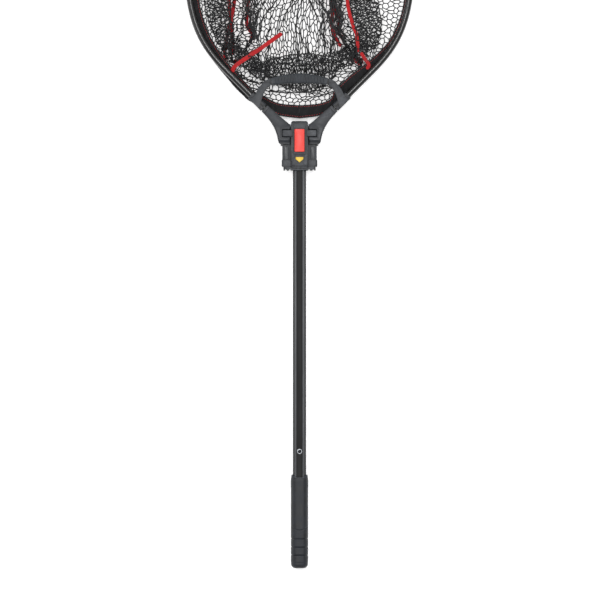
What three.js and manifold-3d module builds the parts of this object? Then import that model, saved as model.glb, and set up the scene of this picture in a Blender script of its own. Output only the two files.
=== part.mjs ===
// Landing net with a folding hoop head, a quick-release hinge block and a telescopic handle.
// Units are millimetres. +Y runs from the grip towards the hoop, +Z is up off the table.
// The origin lies on the underside of the block, straight below the hinge axis.
import * as THREE from 'three';
import { mergeVertices } from 'three/addons/utils/BufferGeometryUtils.js';
import Module from 'manifold-3d';

// ---------------------------------------------------------------- driving dimensions
const GAP = 0.3;             // clearance between pieces that rest on each other
const TUBE_Z = 16;           // height of the handle axis
const HINGE_Z = 34;          // height of the fold axis
const HOOP_Z = 28;           // height of the hoop tube's centre line

const OUTER_HALF = 12;       // outer handle tube, half its width and height
const OUTER_BORE = 9.8;      // half the outer tube's bore, across flats
const INNER_HALF = 9.4;      // inner handle tube, half its width
const INNER_BORE = 8.1;
const OUTER_TOP = -29.1;     // outer tube's upper end when the handle is closed
const OUTER_END = -770;
const INNER_TOP = -26.4;
const INNER_END = -590;
const SNAP_Y = -572.6;       // snap button, near the inner tube's free end
const TRAVEL = 530;          // how far the outer tube pulls out
const PIN_HOLE_R = 2.3;      // clears a pin of PIN_R
const PIN_R = 2;

const BODY_HALF = 31;        // block, half its width
const BODY_NEAR = -20.4;     // block's shoulders, which the arms' toes meet
const BODY_FAR = -47.6;
const NECK_HALF = 28.6;      // reduced end of the block that the collar covers
const NECK_END = -61.8;
const BODY_TOP = 31.5;
const CHANNEL_TOP = 36.5;    // raised track that the release slides on
const CHANNEL_HALF = 14.4;
const TOWER_HALF = 15.2;     // the part of the block between the arms
const TOWER_FAR = 22;
const SPLIT = 0.15;          // each shell stops this short of the split plane
const LUG_END = 30.2;
const LUG_QUARTER = [[5.2, 4.8], [6.4, 3]];       // stays inside the circle that the arm's window turns on
// Ledge of the rear shell, low enough for the arms' toes to swing past it.
const SHELF = { half: 34, far: 8.5, base: 3, top: 7, tongue: 19.5, tongueFar: 14 };
const SLOT_HALF = 3.9;       // slot for the latch bolt
const SCREW_HOLE_R = 1.8;
const SCREW_X = 22;
const SCREW_YS = [-26, -42];

const STRIKE = { y: 16, z: 12 };      // strike pin between the arms
const SLIDER = { half: 11, near: -38, far: 17, base: 36.9, top: 39.6 };
const THUMB = { half: 8.9, near: -33.5, valley: -11, far: 7.4 };

const TUBE_R = 6;            // hoop tube
const TUBE_WALL = 1.2;
const TUBE_CLEAR = 0.3;
const ARM_END = new THREE.Vector2(63, 45);        // where the hoop tube enters the right arm
const ALONG = new THREE.Vector2(1, 1).normalize();   // the hoop tube's direction there
const ACROSS = new THREE.Vector2(1, -1).normalize();
const ARM_HALF = 7.3;
const ARM_BASE = -8;         // heights from here to the band are from the hoop's plane
const ARM_TOP = 7;
const ARM_PANEL_STEP = 0.8;  // how far the arm's panel stands above its edge
const ARM_RISE = 3;          // extra height of the arm over its bush
const WINDOW_HALF = 7.4;     // opening in the arm round the lug
const WINDOW_X = 32;
const SOCKET = { start: 2, end: 34, half: 7.6 };
const HANDLE_BASE = -4.5;
const HANDLE_TOP = 9.5;
const FOOT_TOP = 11.5;
const SLEEVE_X = 52;         // half the length of the ribbed hand grip
const HOOP_BEND = new THREE.Vector2(130, 112);
const HOOP_SIDE = new THREE.Vector2(203, 330);
const HOOP_FAR = 520;        // far end of the hoop
const FERRULE_HALF = 28;

const BAND_NEAR = 27.7;      // fabric band that crosses between the arms
const BAND_FAR = 51.8;
const BAND_BASE = 9;
const BAND_TOP = 18;
const BAG_TOP = 8.7;
const BAG_FLOOR = 2.5;

const GRIP = { top: -615.2, step: -637, arc: -713, end: -771.9, flat: 16, round: 16.6 };
const GRIP_GROOVES = [-730, -745, -759.4];
const CAP_END = -783.5;

// ---------------------------------------------------------------- solids
const wasm = await Module();
wasm.setup();

function toSolid(geometry) {
  const bare = geometry.clone();
  bare.deleteAttribute('normal');
  bare.deleteAttribute('uv');
  const merged = mergeVertices(bare, 1e-4);
  return new wasm.Manifold(new wasm.Mesh({
    numProp: 3,
    vertProperties: new Float32Array(merged.attributes.position.array),
    triVerts: new Uint32Array(merged.index.array),
  }));
}

function toGeometry(solid) {
  const mesh = solid.getMesh();
  const geometry = new THREE.BufferGeometry();
  geometry.setAttribute('position', new THREE.BufferAttribute(new Float32Array(mesh.vertProperties), 3));
  geometry.setIndex(new THREE.BufferAttribute(new Uint32Array(mesh.triVerts), 1));
  geometry.computeVertexNormals();
  return geometry;
}

const join = (first, ...rest) => toGeometry(rest.reduce((sum, g) => sum.add(toSolid(g)), toSolid(first)));
const cut = (first, ...rest) => toGeometry(rest.reduce((left, g) => left.subtract(toSolid(g)), toSolid(first)));
const overlap = (a, b) => toGeometry(toSolid(a).intersect(toSolid(b)));

// The piece on the other side of the plane x = 0.
function mirrored(geometry) {
  const flipped = toGeometry(toSolid(geometry)).scale(-1, 1, 1);
  const corners = flipped.index.array;
  for (let i = 0; i < corners.length; i += 3) {
    [corners[i], corners[i + 1]] = [corners[i + 1], corners[i]];
  }
  flipped.computeVertexNormals();
  return flipped;
}

function box(x0, x1, y0, y1, z0, z1) {
  const geometry = new THREE.BoxGeometry(x1 - x0, y1 - y0, z1 - z0);
  return geometry.translate((x0 + x1) / 2, (y0 + y1) / 2, (z0 + z1) / 2);
}

// An outline drawn in two of the axes, pushed along the third.
const PLANES = {
  x: (from) => new THREE.Matrix4().makeBasis(Y_AXIS, Z_AXIS, X_AXIS).setPosition(from, 0, 0),
  y: (from, to) => new THREE.Matrix4().makeBasis(X_AXIS, Z_AXIS, Y_AXIS.clone().negate()).setPosition(0, to, 0),
  z: (from) => new THREE.Matrix4().setPosition(0, 0, from),
};
const X_AXIS = new THREE.Vector3(1, 0, 0);
const Y_AXIS = new THREE.Vector3(0, 1, 0);
const Z_AXIS = new THREE.Vector3(0, 0, 1);

function prism(outline, axis, from, to, curveSegments = 3) {
  const shape = outline instanceof THREE.Shape ? outline : new THREE.Shape(outline);
  const geometry = new THREE.ExtrudeGeometry(shape, { depth: to - from, bevelEnabled: false, curveSegments });
  return geometry.applyMatrix4(PLANES[axis](from, to));
}

// A ring-shaped section; the two outlines have to run in opposite directions.
function hollow(outer, inner) {
  const { isClockWise } = THREE.ShapeUtils;
  const shape = new THREE.Shape(outer);
  shape.holes.push(new THREE.Path(isClockWise(outer) === isClockWise(inner) ? [...inner].reverse() : inner));
  return shape;
}

function rod(axis, radius, from, to, centre, sides = 16) {
  const geometry = new THREE.CylinderGeometry(radius, radius, to - from, sides);
  geometry.translate(0, (from + to) / 2, 0);
  if (axis === 'x') geometry.rotateZ(-Math.PI / 2);
  if (axis === 'z') geometry.rotateX(Math.PI / 2);
  return geometry.translate(...centre);
}

const points = (pairs) => pairs.map(([u, v]) => new THREE.Vector2(u, v));

// A section that is the same in all four quarters, from the points of its first quarter.
function fourfold(quarter) {
  const back = [...quarter].reverse();
  return points([
    ...quarter,
    ...back.map(([u, v]) => [u, -v]),
    ...quarter.map(([u, v]) => [-u, -v]),
    ...back.map(([u, v]) => [-u, v]),
  ]);
}

// An octagon with flats at the given distance from its centre.
function octagon(half) {
  const flat = half * Math.tan(Math.PI / 8);
  return fourfold([[flat, half], [half, flat]]);
}

// A square section with cut corners that the outer tube slides in.
const sleeveSection = (half) => fourfold([[half - 3.4, half], [half, half - 4.6]]);

function rounded(x0, x1, y0, y1, radius) {
  const shape = new THREE.Shape();
  shape.moveTo(x0 + radius, y0);
  shape.lineTo(x1 - radius, y0);
  shape.absarc(x1 - radius, y0 + radius, radius, -Math.PI / 2, 0);
  shape.lineTo(x1, y1 - radius);
  shape.absarc(x1 - radius, y1 - radius, radius, 0, Math.PI / 2);
  shape.lineTo(x0 + radius, y1);
  shape.absarc(x0 + radius, y1 - radius, radius, Math.PI / 2, Math.PI);
  shape.lineTo(x0, y0 + radius);
  shape.absarc(x0 + radius, y0 + radius, radius, Math.PI, 1.5 * Math.PI);
  return shape;
}

// The same closed outline, moved sideways: outwards where distance is positive.
function offset(outline, distance) {
  const side = THREE.ShapeUtils.area(outline) > 0 ? 1 : -1;
  return outline.map((point, i) => {
    const before = outline.at(i - 1);
    const after = outline[(i + 1) % outline.length];
    const into = point.clone().sub(before).normalize();
    const out = after.clone().sub(point).normalize();
    const normal = new THREE.Vector2(into.y + out.y, -into.x - out.x).normalize();
    const stretch = Math.max(0.5, normal.dot(new THREE.Vector2(into.y, -into.x)));
    return point.clone().addScaledVector(normal, side * distance / stretch);
  });
}

// Turns a solid that was drawn along +Y at the origin into one along the right arm's hoop tube.
function alongTube(geometry) {
  geometry.rotateZ(-Math.PI / 4);
  return geometry.translate(ARM_END.x, ARM_END.y, 0);
}

// ---------------------------------------------------------------- materials
const finish = (color, roughness, metalness) =>
  () => new THREE.MeshStandardMaterial({ color, roughness, metalness, flatShading: true });
const plastic = finish(0x3c4147, 0.55, 0);
const insertPlastic = finish(0x30343a, 0.3, 0);
const redPlastic = finish(0xf0503c, 0.45, 0);
const yellowPaint = finish(0xf2d838, 0.5, 0);
const blackPlastic = finish(0x1c1d20, 0.5, 0);
const anodised = finish(0x202124, 0.32, 0.8);
const glossPaint = finish(0x111214, 0.15, 0.5);
const steel = finish(0xb8babd, 0.3, 1);
const brass = finish(0xb08d4a, 0.35, 1);
const rubber = finish(0x2a2c30, 0.8, 0);
const fabric = finish(0x141416, 0.9, 0);
const netting = finish(0x18191b, 0.7, 0);

function addPiece(group, name, geometry, material) {
  const mesh = new THREE.Mesh(geometry, material());
  mesh.name = name;
  group.add(mesh);
}

// Adds a right-hand piece and its mirror image.
function addPair(group, name, geometry, material) {
  addPiece(group, `${name}_right`, geometry, material);
  addPiece(group, `${name}_left`, mirrored(geometry), material);
}

// ---------------------------------------------------------------- hinge block
// What both shells are hollowed by: the room for the outer tube and the spigot's flange.
const tubeRoom = () => prism(sleeveSection(OUTER_HALF + 0.5), 'y', NECK_END - 1, -20.6)
  .translate(0, 0, TUBE_Z);

const screwHoles = (from, to, radius) =>
  SCREW_YS.flatMap((y) => [-SCREW_X, SCREW_X].map((x) => rod('z', radius, from, to, [x, y, 0], 12)));

// Side view of the tower. Its far end stays inside the circle that the strike pin swings on.
function towerProfile() {
  const swing = Math.hypot(STRIKE.y, HINGE_Z - STRIKE.z) - PIN_R - 0.6;
  const base = TUBE_Z + SPLIT;
  const shape = new THREE.Shape();
  shape.moveTo(-30, base);
  shape.lineTo(Math.sqrt(swing ** 2 - (HINGE_Z - base) ** 2), base);
  const startAngle = Math.asin((base - HINGE_Z) / swing);
  shape.absarc(0, HINGE_Z, swing, startAngle, -Math.acos(TOWER_FAR / swing));
  shape.lineTo(TOWER_FAR, CHANNEL_TOP - 3);
  shape.lineTo(TOWER_FAR - 2.5, CHANNEL_TOP);
  shape.lineTo(-30, CHANNEL_TOP);
  return shape;
}

function frontShell() {
  const base = TUBE_Z + SPLIT;
  const bodySection = points([[-BODY_HALF, base], [BODY_HALF, base], [BODY_HALF, BODY_TOP - 3],
    [BODY_HALF - 2.5, BODY_TOP], [2.5 - BODY_HALF, BODY_TOP], [-BODY_HALF, BODY_TOP - 3]]);
  const body = prism(bodySection, 'y', BODY_FAR, BODY_NEAR);
  const neck = box(-NECK_HALF, NECK_HALF, NECK_END, BODY_FAR + 1, base, BODY_TOP - 2.5);
  const channel = box(-CHANNEL_HALF, CHANNEL_HALF, -58, BODY_NEAR, BODY_TOP - 3, CHANNEL_TOP);
  const lip = box(-CHANNEL_HALF, CHANNEL_HALF, NECK_END - 0.6, -57, BODY_TOP - 3, 33);
  const tower = overlap(
    prism(towerProfile(), 'x', -TOWER_HALF, TOWER_HALF),
    prism(rounded(-TOWER_HALF, TOWER_HALF, -40, TOWER_FAR, 4), 'z', 0, 40),
  );
  const lug = prism(fourfold(LUG_QUARTER), 'x', TOWER_HALF - 2, LUG_END).translate(0, 0, HINGE_Z);
  const panels = [-1, 1].map((side) =>
    prism(rounded(19.3, 28.2, -46.6, -23.8, 1.5), 'z', BODY_TOP - 1.2, BODY_TOP + 1)
      .translate(side < 0 ? -47.5 : 0, 0, 0));
  return cut(
    join(body, neck, channel, lip, tower, lug, mirrored(lug)),
    tubeRoom(),
    box(-SLOT_HALF, SLOT_HALF, -7.6, 6.4, TUBE_Z - 2, CHANNEL_TOP + 1),
    box(-SLOT_HALF, SLOT_HALF, -7.6, TOWER_FAR + 2, TUBE_Z - 2, 19.2),
    box(-SLOT_HALF, SLOT_HALF, -18, -7, 24.5, 31.5),
    rod('x', PIN_HOLE_R, 12 - GAP, LUG_END + 1, [0, 0, HINGE_Z]),
    rod('x', PIN_HOLE_R, -LUG_END - 1, GAP - 12, [0, 0, HINGE_Z]),
    prism(arrowOutline(0), 'z', CHANNEL_TOP - 0.8, CHANNEL_TOP + 1),
    ...screwHoles(TUBE_Z - 1, 25, SCREW_HOLE_R),
    ...panels,
  );
}

function rearShell() {
  const top = TUBE_Z - SPLIT;
  const bodySection = points([[-BODY_HALF, top], [-BODY_HALF, 3], [3 - BODY_HALF, 0],
    [BODY_HALF - 3, 0], [BODY_HALF, 3], [BODY_HALF, top]]);
  const body = prism(bodySection, 'y', BODY_FAR, BODY_NEAR);
  const neck = box(-NECK_HALF, NECK_HALF, NECK_END, BODY_FAR + 1, 2.5, top);
  const tower = prism(rounded(-TOWER_HALF, TOWER_HALF, -30, STRIKE.y - 3, 3), 'z', 0, top);
  const shelf = box(-SHELF.half, SHELF.half, BODY_NEAR - 1, SHELF.far, SHELF.base, SHELF.top);
  const tongue = box(-SHELF.tongue, SHELF.tongue, BODY_NEAR, SHELF.tongueFar, SHELF.base, SHELF.top);
  return cut(
    join(body, neck, tower, shelf, tongue),
    tubeRoom(),
    box(-SLOT_HALF, SLOT_HALF, -8, STRIKE.y, TUBE_Z - 2, TUBE_Z + 2),
    ...screwHoles(-1, TUBE_Z + 1, SCREW_HOLE_R),
    ...screwHoles(-1, 3.4, 3.4),
  );
}

// Collar that slides on over the neck and holds the shells together.
function endCollar() {
  const near = BODY_FAR - GAP;
  const wide = fourfold([[29.2, 16.2], [32.2, 13.2]]).map((p) => p.add(new THREE.Vector2(0, 16.2)));
  const narrow = fourfold([[26.5, 15], [29, 12.5]]).map((p) => p.add(new THREE.Vector2(0, 16.2)));
  const notches = [-25, -17.5, 17.5, 25].map((x) => box(x - 1.6, x + 1.6, -70, -64.2, -1, 40));
  return cut(
    join(prism(wide, 'y', -59.2, near), prism(narrow, 'y', -66.2, -59)),
    box(-NECK_HALF - GAP, NECK_HALF + GAP, NECK_END - GAP, near + 1, 2.2, BODY_TOP - 2.2),
    box(-CHANNEL_HALF - GAP, CHANNEL_HALF + GAP, NECK_END - 0.9, near + 1, 28, 40),
    prism(sleeveSection(OUTER_HALF + 0.6), 'y', -70, -55).translate(0, 0, TUBE_Z),
    ...notches,
  );
}

function arrowOutline(inset) {
  const outline = points([[-7.2, -42.5], [-7.2, -46.6], [0, -52.9], [7.2, -46.6], [7.2, -42.5]]);
  return offset(outline, -inset);
}

function casingScrew() {
  const head = rod('z', 3, 0.6, 3, [0, 0, 0], 12);
  const shank = rod('z', 1.5, 2.5, 24, [0, 0, 0], 10);
  const socket = rod('z', 1.4, 0, 2, [0, 0, 0], 6);
  return cut(join(head, shank), socket);
}

// ---------------------------------------------------------------- release
function sliderPlate() {
  const plan = rounded(-SLIDER.half, SLIDER.half, SLIDER.near, SLIDER.far, 2.5);
  const plate = prism(plan, 'z', SLIDER.base, SLIDER.top);
  const pocket = rounded(-THUMB.half - GAP, THUMB.half + GAP, THUMB.near - GAP, THUMB.far + GAP, 1.8);
  return cut(plate, prism(pocket, 'z', SLIDER.base + 1, SLIDER.top + 1));
}

// Two facets meet in a shallow valley for the thumb.
function thumbButton() {
  const side = points([[THUMB.near, SLIDER.base + 1.3], [THUMB.far, SLIDER.base + 1.3], [THUMB.far, 40.9],
    [THUMB.valley, 39.9], [THUMB.near, 41.6]]);
  const plan = rounded(-THUMB.half, THUMB.half, THUMB.near, THUMB.far, 1.6);
  return overlap(prism(side, 'x', -THUMB.half, THUMB.half), prism(plan, 'z', 30, 50));
}

// The nose reaches over the strike pin and ends on the inside of its swing.
function latchBolt() {
  const half = SLOT_HALF - 0.4;
  const side = points([[-2, 14.6], [15.4, 14.6], [18.2, 18.6], [6, 18.6], [6, SLIDER.base - GAP],
    [-2, SLIDER.base - GAP]]);
  return prism(side, 'x', -half, half);
}

class Helix extends THREE.Curve {
  constructor(radius, from, to, turns) {
    super();
    Object.assign(this, { radius, from, to, turns });
  }

  getPoint(t, target = new THREE.Vector3()) {
    const angle = 2 * Math.PI * this.turns * t;
    const y = THREE.MathUtils.lerp(this.from, this.to, t);
    return target.set(this.radius * Math.cos(angle), y, this.radius * Math.sin(angle));
  }
}

function returnSpring() {
  const wire = octagon(0.4);
  const path = new Helix(2.4, -17.3, -2.8, 5);
  return new THREE.ExtrudeGeometry(new THREE.Shape(wire), { steps: 60, extrudePath: path })
    .translate(0, 0, 28);
}

// ---------------------------------------------------------------- arms and sockets
const tubePoint = (along, across = 0) =>
  ARM_END.clone().addScaledVector(ALONG, along).addScaledVector(ACROSS, across);

// Right arm seen from above: a hook round the lug, then a blade out to the hoop tube.
function armOutline() {
  const inner = tubePoint(0, -ARM_HALF);
  const outer = tubePoint(0, ARM_HALF);
  const shape = new THREE.Shape();
  shape.moveTo(inner.x, inner.y);
  shape.lineTo(TOWER_HALF + 0.7, 14.4);
  shape.lineTo(TOWER_HALF + 0.7, 12.4);
  shape.lineTo(18.6, WINDOW_HALF);
  shape.lineTo(WINDOW_X, WINDOW_HALF);
  shape.lineTo(WINDOW_X, -WINDOW_HALF);
  shape.lineTo(17.8, -WINDOW_HALF);
  shape.lineTo(17.8, BODY_NEAR + 0.4);
  shape.lineTo(33.5, BODY_NEAR + 0.4);
  shape.lineTo(37.3, -17);
  shape.lineTo(38.5, -13.3);
  shape.bezierCurveTo(41, 4, 48, 20, outer.x, outer.y);
  return shape.getPoints(6);
}

// Side view of the arm: thicker over its bush, and lower again at the toe, which swings past the shoulder.
function armSide(top) {
  const high = top + ARM_RISE;
  return points([[-30, ARM_BASE], [80, ARM_BASE], [80, top], [18, top], [9, high], [-12.5, high], [-16.5, top],
    [-30, top]]);
}

function arm() {
  const outline = armOutline();
  const shaped = (plan, top) => overlap(
    prism(plan, 'z', ARM_BASE, top + ARM_RISE + 1),
    prism(armSide(top), 'x', 0, ARM_END.x + 20),
  );
  const blade = shaped(outline, ARM_TOP);
  const panel = shaped(offset(outline, -2), ARM_TOP + ARM_PANEL_STEP);
  const pinZ = STRIKE.z - HOOP_Z;
  const cheek = join(
    rod('x', 4.6, 21, 28, [0, STRIKE.y, pinZ]),
    box(21, 28, STRIKE.y - 4.4, STRIKE.y + 3, pinZ, ARM_BASE + 1),
  );
  const endGroove = alongTube(box(-10, 10, -6.2, -5, ARM_TOP - 0.4, ARM_TOP + 2));
  return cut(
    join(blade, panel, cheek),
    alongTube(rod('y', TUBE_R + TUBE_CLEAR, -15, 2, [0, 0, 0])),
    rod('x', PIN_HOLE_R, 20, 30, [0, STRIKE.y, pinZ]),
    rod('x', 3.9, WINDOW_X - 1, 37.4, [0, 0, HINGE_Z - HOOP_Z]),
    endGroove,
  );
}

function hingeBush() {
  const [radius, near, far] = [3.6, 32.3, 37.1];
  const profile = points([[PIN_HOLE_R, near], [radius, near], [radius, far], [PIN_HOLE_R, far],
    [PIN_HOLE_R, near]]);
  return new THREE.LatheGeometry(profile, 16).rotateZ(-Math.PI / 2).translate(0, 0, HINGE_Z - HOOP_Z);
}

function socket() {
  const sleeve = prism(fourfold([[5.2, SOCKET.half], [SOCKET.half, 5.2]]), 'y', SOCKET.start, SOCKET.end);
  return alongTube(cut(
    sleeve,
    rod('y', TUBE_R + TUBE_CLEAR, 0, 40, [0, 0, 0]),
    rod('z', SCREW_HOLE_R, -10, 10, [0, 20, 0], 12),
  ));
}

// Small hooked tongue on the socket's near end, which keeps the tube from turning in the arm.
function socketClip() {
  const side = points([[1.2, SOCKET.half + GAP], [9, SOCKET.half + GAP], [9, SOCKET.half + 1.4],
    [3.4, SOCKET.half + 1.4], [3.4, SOCKET.half + 2.4], [1.2, SOCKET.half + 2.4]]);
  return alongTube(prism(side, 'x', -3.2, 0.4));
}

function socketScrew() {
  const head = rod('z', 2.8, -SOCKET.half - 2, -SOCKET.half - GAP, [0, 20, 0], 12);
  const shank = rod('z', 1.5, -SOCKET.half - 1, FOOT_TOP - 1.5, [0, 20, 0], 10);
  const recess = rod('z', 1.3, -SOCKET.half - 3, -SOCKET.half - 1, [0, 20, 0], 6);
  return alongTube(cut(join(head, shank), recess));
}

// ---------------------------------------------------------------- carry handle
function handleOutline() {
  const leg = [[64, 93.6], [75.2, 79], [81.7, 65.4], [88.6, 61.8], [73, 44.6], [64.8, 71.1], [58.5, 82.3]];
  const shape = new THREE.Shape();
  shape.moveTo(-SLEEVE_X, 99.2);
  shape.quadraticCurveTo(0, 116.8, SLEEVE_X, 99.2);
  leg.forEach(([x, y]) => shape.lineTo(x, y));
  shape.lineTo(47.9, 87.1);
  shape.quadraticCurveTo(0, 92.9, -47.9, 87.1);
  leg.reverse().forEach(([x, y]) => shape.lineTo(-x, y));
  return shape.getPoints(8);
}

// The bar under the ribbed grip is slimmer, so that the grip lies flush with the legs.
const handleCore = (shrink) => prism(offset(handleOutline(), shrink - 2.4), 'z',
  HANDLE_BASE + 2.4 - shrink, HANDLE_TOP - 2.4 + shrink);

function carryHandle() {
  const outline = handleOutline();
  const legs = cut(
    join(
      overlap(prism(outline, 'z', HANDLE_BASE, HANDLE_TOP), box(-100, 100, 62, 110, -20, 20)),
      overlap(prism(outline, 'z', SOCKET.half + GAP, FOOT_TOP), box(-100, 100, 30, 90, -20, 20)),
    ),
    box(-SLEEVE_X - GAP, SLEEVE_X + GAP, 80, 120, -20, 20),
  );
  const core = overlap(handleCore(0), box(-56, 56, 80, 120, -20, 20));
  const socketRoom = alongTube(box(-SOCKET.half - GAP, SOCKET.half + GAP, -2, 60, -20, SOCKET.half + GAP));
  const clipRoom = alongTube(box(-4, 1, -2, 10, 5, 20));
  const screwRoom = alongTube(rod('z', SCREW_HOLE_R, -10, FOOT_TOP - 1.2, [0, 20, 0], 12));
  return [socketRoom, clipRoom, screwRoom]
    .flatMap((room) => [room, mirrored(room)])
    .reduce((left, room) => cut(left, room), join(legs, core));
}

function handleSleeve() {
  const full = prism(handleOutline(), 'z', HANDLE_BASE, HANDLE_TOP);
  return cut(overlap(full, box(-SLEEVE_X, SLEEVE_X, 80, 120, -20, 20)), handleCore(GAP));
}

// ---------------------------------------------------------------- hoop
// Centre line of the right half of the hoop, from inside the arm to the far end.
function hoopPath() {
  const at = (v) => new THREE.Vector3(v.x, v.y, 0);
  const bendOut = HOOP_BEND.clone().addScaledVector(ALONG, 75);
  const path = new THREE.CurvePath();
  path.add(new THREE.LineCurve3(at(tubePoint(-14)), at(HOOP_BEND)));
  path.add(new THREE.CubicBezierCurve3(at(HOOP_BEND), at(bendOut),
    new THREE.Vector3(HOOP_SIDE.x, HOOP_SIDE.y - 120, 0), at(HOOP_SIDE)));
  path.add(new THREE.CubicBezierCurve3(at(HOOP_SIDE), new THREE.Vector3(HOOP_SIDE.x, HOOP_SIDE.y + 120, 0),
    new THREE.Vector3(130, HOOP_FAR, 0), new THREE.Vector3(FERRULE_HALF + 4, HOOP_FAR, 0)));
  path.add(new THREE.LineCurve3(new THREE.Vector3(FERRULE_HALF + 4, HOOP_FAR, 0),
    new THREE.Vector3(GAP, HOOP_FAR, 0)));
  return path;
}

function hoopTube() {
  const ring = new THREE.Shape().absarc(0, 0, TUBE_R, 0, 2 * Math.PI);
  ring.holes.push(new THREE.Path().absarc(0, 0, TUBE_R - TUBE_WALL, 0, 2 * Math.PI));
  const tube = new THREE.ExtrudeGeometry(ring, { steps: 36, curveSegments: 5, extrudePath: hoopPath() });
  return cut(tube, alongTube(rod('z', SCREW_HOLE_R, -10, 10, [0, 20, 0], 12)));
}

function hoopFerrule() {
  return cut(
    rod('x', TUBE_R + TUBE_WALL + TUBE_CLEAR, -FERRULE_HALF, FERRULE_HALF, [0, HOOP_FAR, 0], 20),
    rod('x', TUBE_R + TUBE_CLEAR, -FERRULE_HALF - 1, FERRULE_HALF + 1, [0, HOOP_FAR, 0], 20),
  );
}

// ---------------------------------------------------------------- band and bag
// A closed outline that follows the hoop at a sideways distance and crosses between the arms
// through the given points.
function ringOutline(distance, crossing) {
  const clear = 70;
  const half = hoopPath().getSpacedPoints(40).map((p) => new THREE.Vector2(p.x, p.y));
  const side = half.map((point, i) => {
    const along = half[Math.min(i + 1, 40)].clone().sub(half[Math.max(i - 1, 0)]).normalize();
    return point.clone().add(new THREE.Vector2(along.y, -along.x).multiplyScalar(distance));
  }).filter((point) => point.y > clear);
  const right = [...points(crossing), ...side];
  const left = [...right].reverse().filter((p) => p.x > 1).map((p) => new THREE.Vector2(-p.x, p.y));
  return [...right, ...left];
}

const bandOuter = () => ringOutline(4, [[0, BAND_NEAR], [35, 32.5], [62, 45]]);
const bandInner = () => ringOutline(-14, [[0, BAND_FAR], [35, 55], [58, 63]]);

function rimBand() {
  return prism(hollow(bandOuter(), bandInner()), 'z', BAND_BASE, BAND_TOP);
}

function netBag() {
  return cut(
    prism(offset(bandInner(), 6), 'z', 0, BAG_TOP),
    prism(offset(bandInner(), 0), 'z', BAG_FLOOR, BAG_TOP + 1),
  );
}

// ---------------------------------------------------------------- handle
// Outer tube: flat sides, and a sunk channel down the front and the back.
function outerTube() {
  const outside = fourfold([[4.8, OUTER_HALF - 1], [5.6, OUTER_HALF], [8.8, OUTER_HALF], [OUTER_HALF, 7.5]]);
  return cut(
    prism(hollow(outside, octagon(OUTER_BORE)), 'y', OUTER_END, OUTER_TOP),
    rod('z', 4.4, 5, 15, [0, SNAP_Y, 0]),
    rod('z', 4.4, 5, 15, [0, SNAP_Y + TRAVEL, 0]),
  );
}

function tubeBush() {
  return prism(hollow(octagon(11.4), octagon(OUTER_BORE)), 'y', OUTER_TOP + GAP, -26.3);
}

function buttonEyelet() {
  const profile = points([[3.4, 10.1], [4, 10.1], [4, 11.3], [4.7, 11.3], [4.5, 11.9], [3.4, 11.9],
    [3.4, 10.1]]);
  return new THREE.LatheGeometry(profile, 20).rotateX(Math.PI / 2).translate(0, SNAP_Y, 0);
}

// Straight between the given profile points, with a groove at each given place.
function gripProfile(scale) {
  const grooves = GRIP_GROOVES.flatMap((y) => [[16, y + 1.2], [14.9, y + 0.5], [14.9, y - 0.5], [16, y - 1.2]]);
  const outside = [[14.2, GRIP.top], [16, GRIP.top - 2.3], [16, GRIP.step + 3], [15.3, GRIP.step],
    [15.3, GRIP.arc + 2], [16, GRIP.arc - 1], ...grooves, [16, GRIP.end]];
  return points([[0, GRIP.top], ...outside.map(([r, y]) => [r * scale, y]), [0, GRIP.end]]).reverse();
}

function grip() {
  const flats = new THREE.LatheGeometry(gripProfile(1 / Math.cos(Math.PI / 8)), 8, Math.PI / 8);
  const round = new THREE.LatheGeometry(gripProfile(GRIP.round / GRIP.flat), 24);
  const bore = fourfold([[9.1, OUTER_HALF + GAP], [OUTER_HALF + GAP, 7.7]]);
  return cut(overlap(flats, round), prism(bore, 'y', -800, -600));
}

function endCap() {
  const corner = 8;
  const radius = 15.6;
  const arc = Array.from({ length: 6 }, (_, i) => {
    const angle = -Math.PI / 2 + (i / 5) * (Math.PI / 2);
    return [radius - corner + corner * Math.cos(angle), CAP_END + corner + corner * Math.sin(angle)];
  });
  const top = GRIP.end - GAP;
  const disc = new THREE.LatheGeometry(points([[0, CAP_END], ...arc, [radius, top], [0, top]]), 24);
  return join(disc, prism(octagon(OUTER_BORE - GAP), 'y', top - 1, -745));
}

// ---------------------------------------------------------------- inner tube
function innerTube() {
  return cut(
    prism(hollow(octagon(INNER_HALF), octagon(INNER_BORE)), 'y', INNER_END, INNER_TOP),
    rod('z', 3.3, 5, 12, [0, SNAP_Y, 0]),
    rod('x', PIN_HOLE_R, -12, 12, [0, -75, 0]),
  );
}

// Peg that carries the inner tube; its flange sits between the shells.
function tubeSpigot() {
  return cut(
    join(
      prism(sleeveSection(OUTER_HALF + 0.2), 'y', -25.9, -20.9),
      prism(octagon(INNER_BORE - GAP), 'y', -100, -25),
    ),
    rod('x', PIN_HOLE_R, -12, 12, [0, -75, 0]),
  );
}

function innerPlug() {
  return join(
    prism(octagon(INNER_HALF), 'y', INNER_END - 3, INNER_END - GAP),
    prism(octagon(INNER_BORE - GAP), 'y', INNER_END - 1, INNER_END + 8),
  );
}

function snapButton() {
  const profile = points([[0, 4.3], [3, 4.3], [3, 8.6], [2.2, 9.3], [0, 9.6]]);
  return new THREE.LatheGeometry(profile, 20).rotateX(Math.PI / 2).translate(0, SNAP_Y, 0);
}

function snapSpring() {
  const side = points([[SNAP_Y - 4, 4], [SNAP_Y + 4, 4], [SNAP_Y + 29, -3.4], [SNAP_Y + 29, -5.2],
    [SNAP_Y - 4, -7.6], [SNAP_Y - 4, -6.8], [SNAP_Y + 25.5, -4.5], [SNAP_Y + 3.5, 3.2], [SNAP_Y - 4, 3.2]]);
  return prism(side, 'x', -3.5, 3.5);
}

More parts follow.
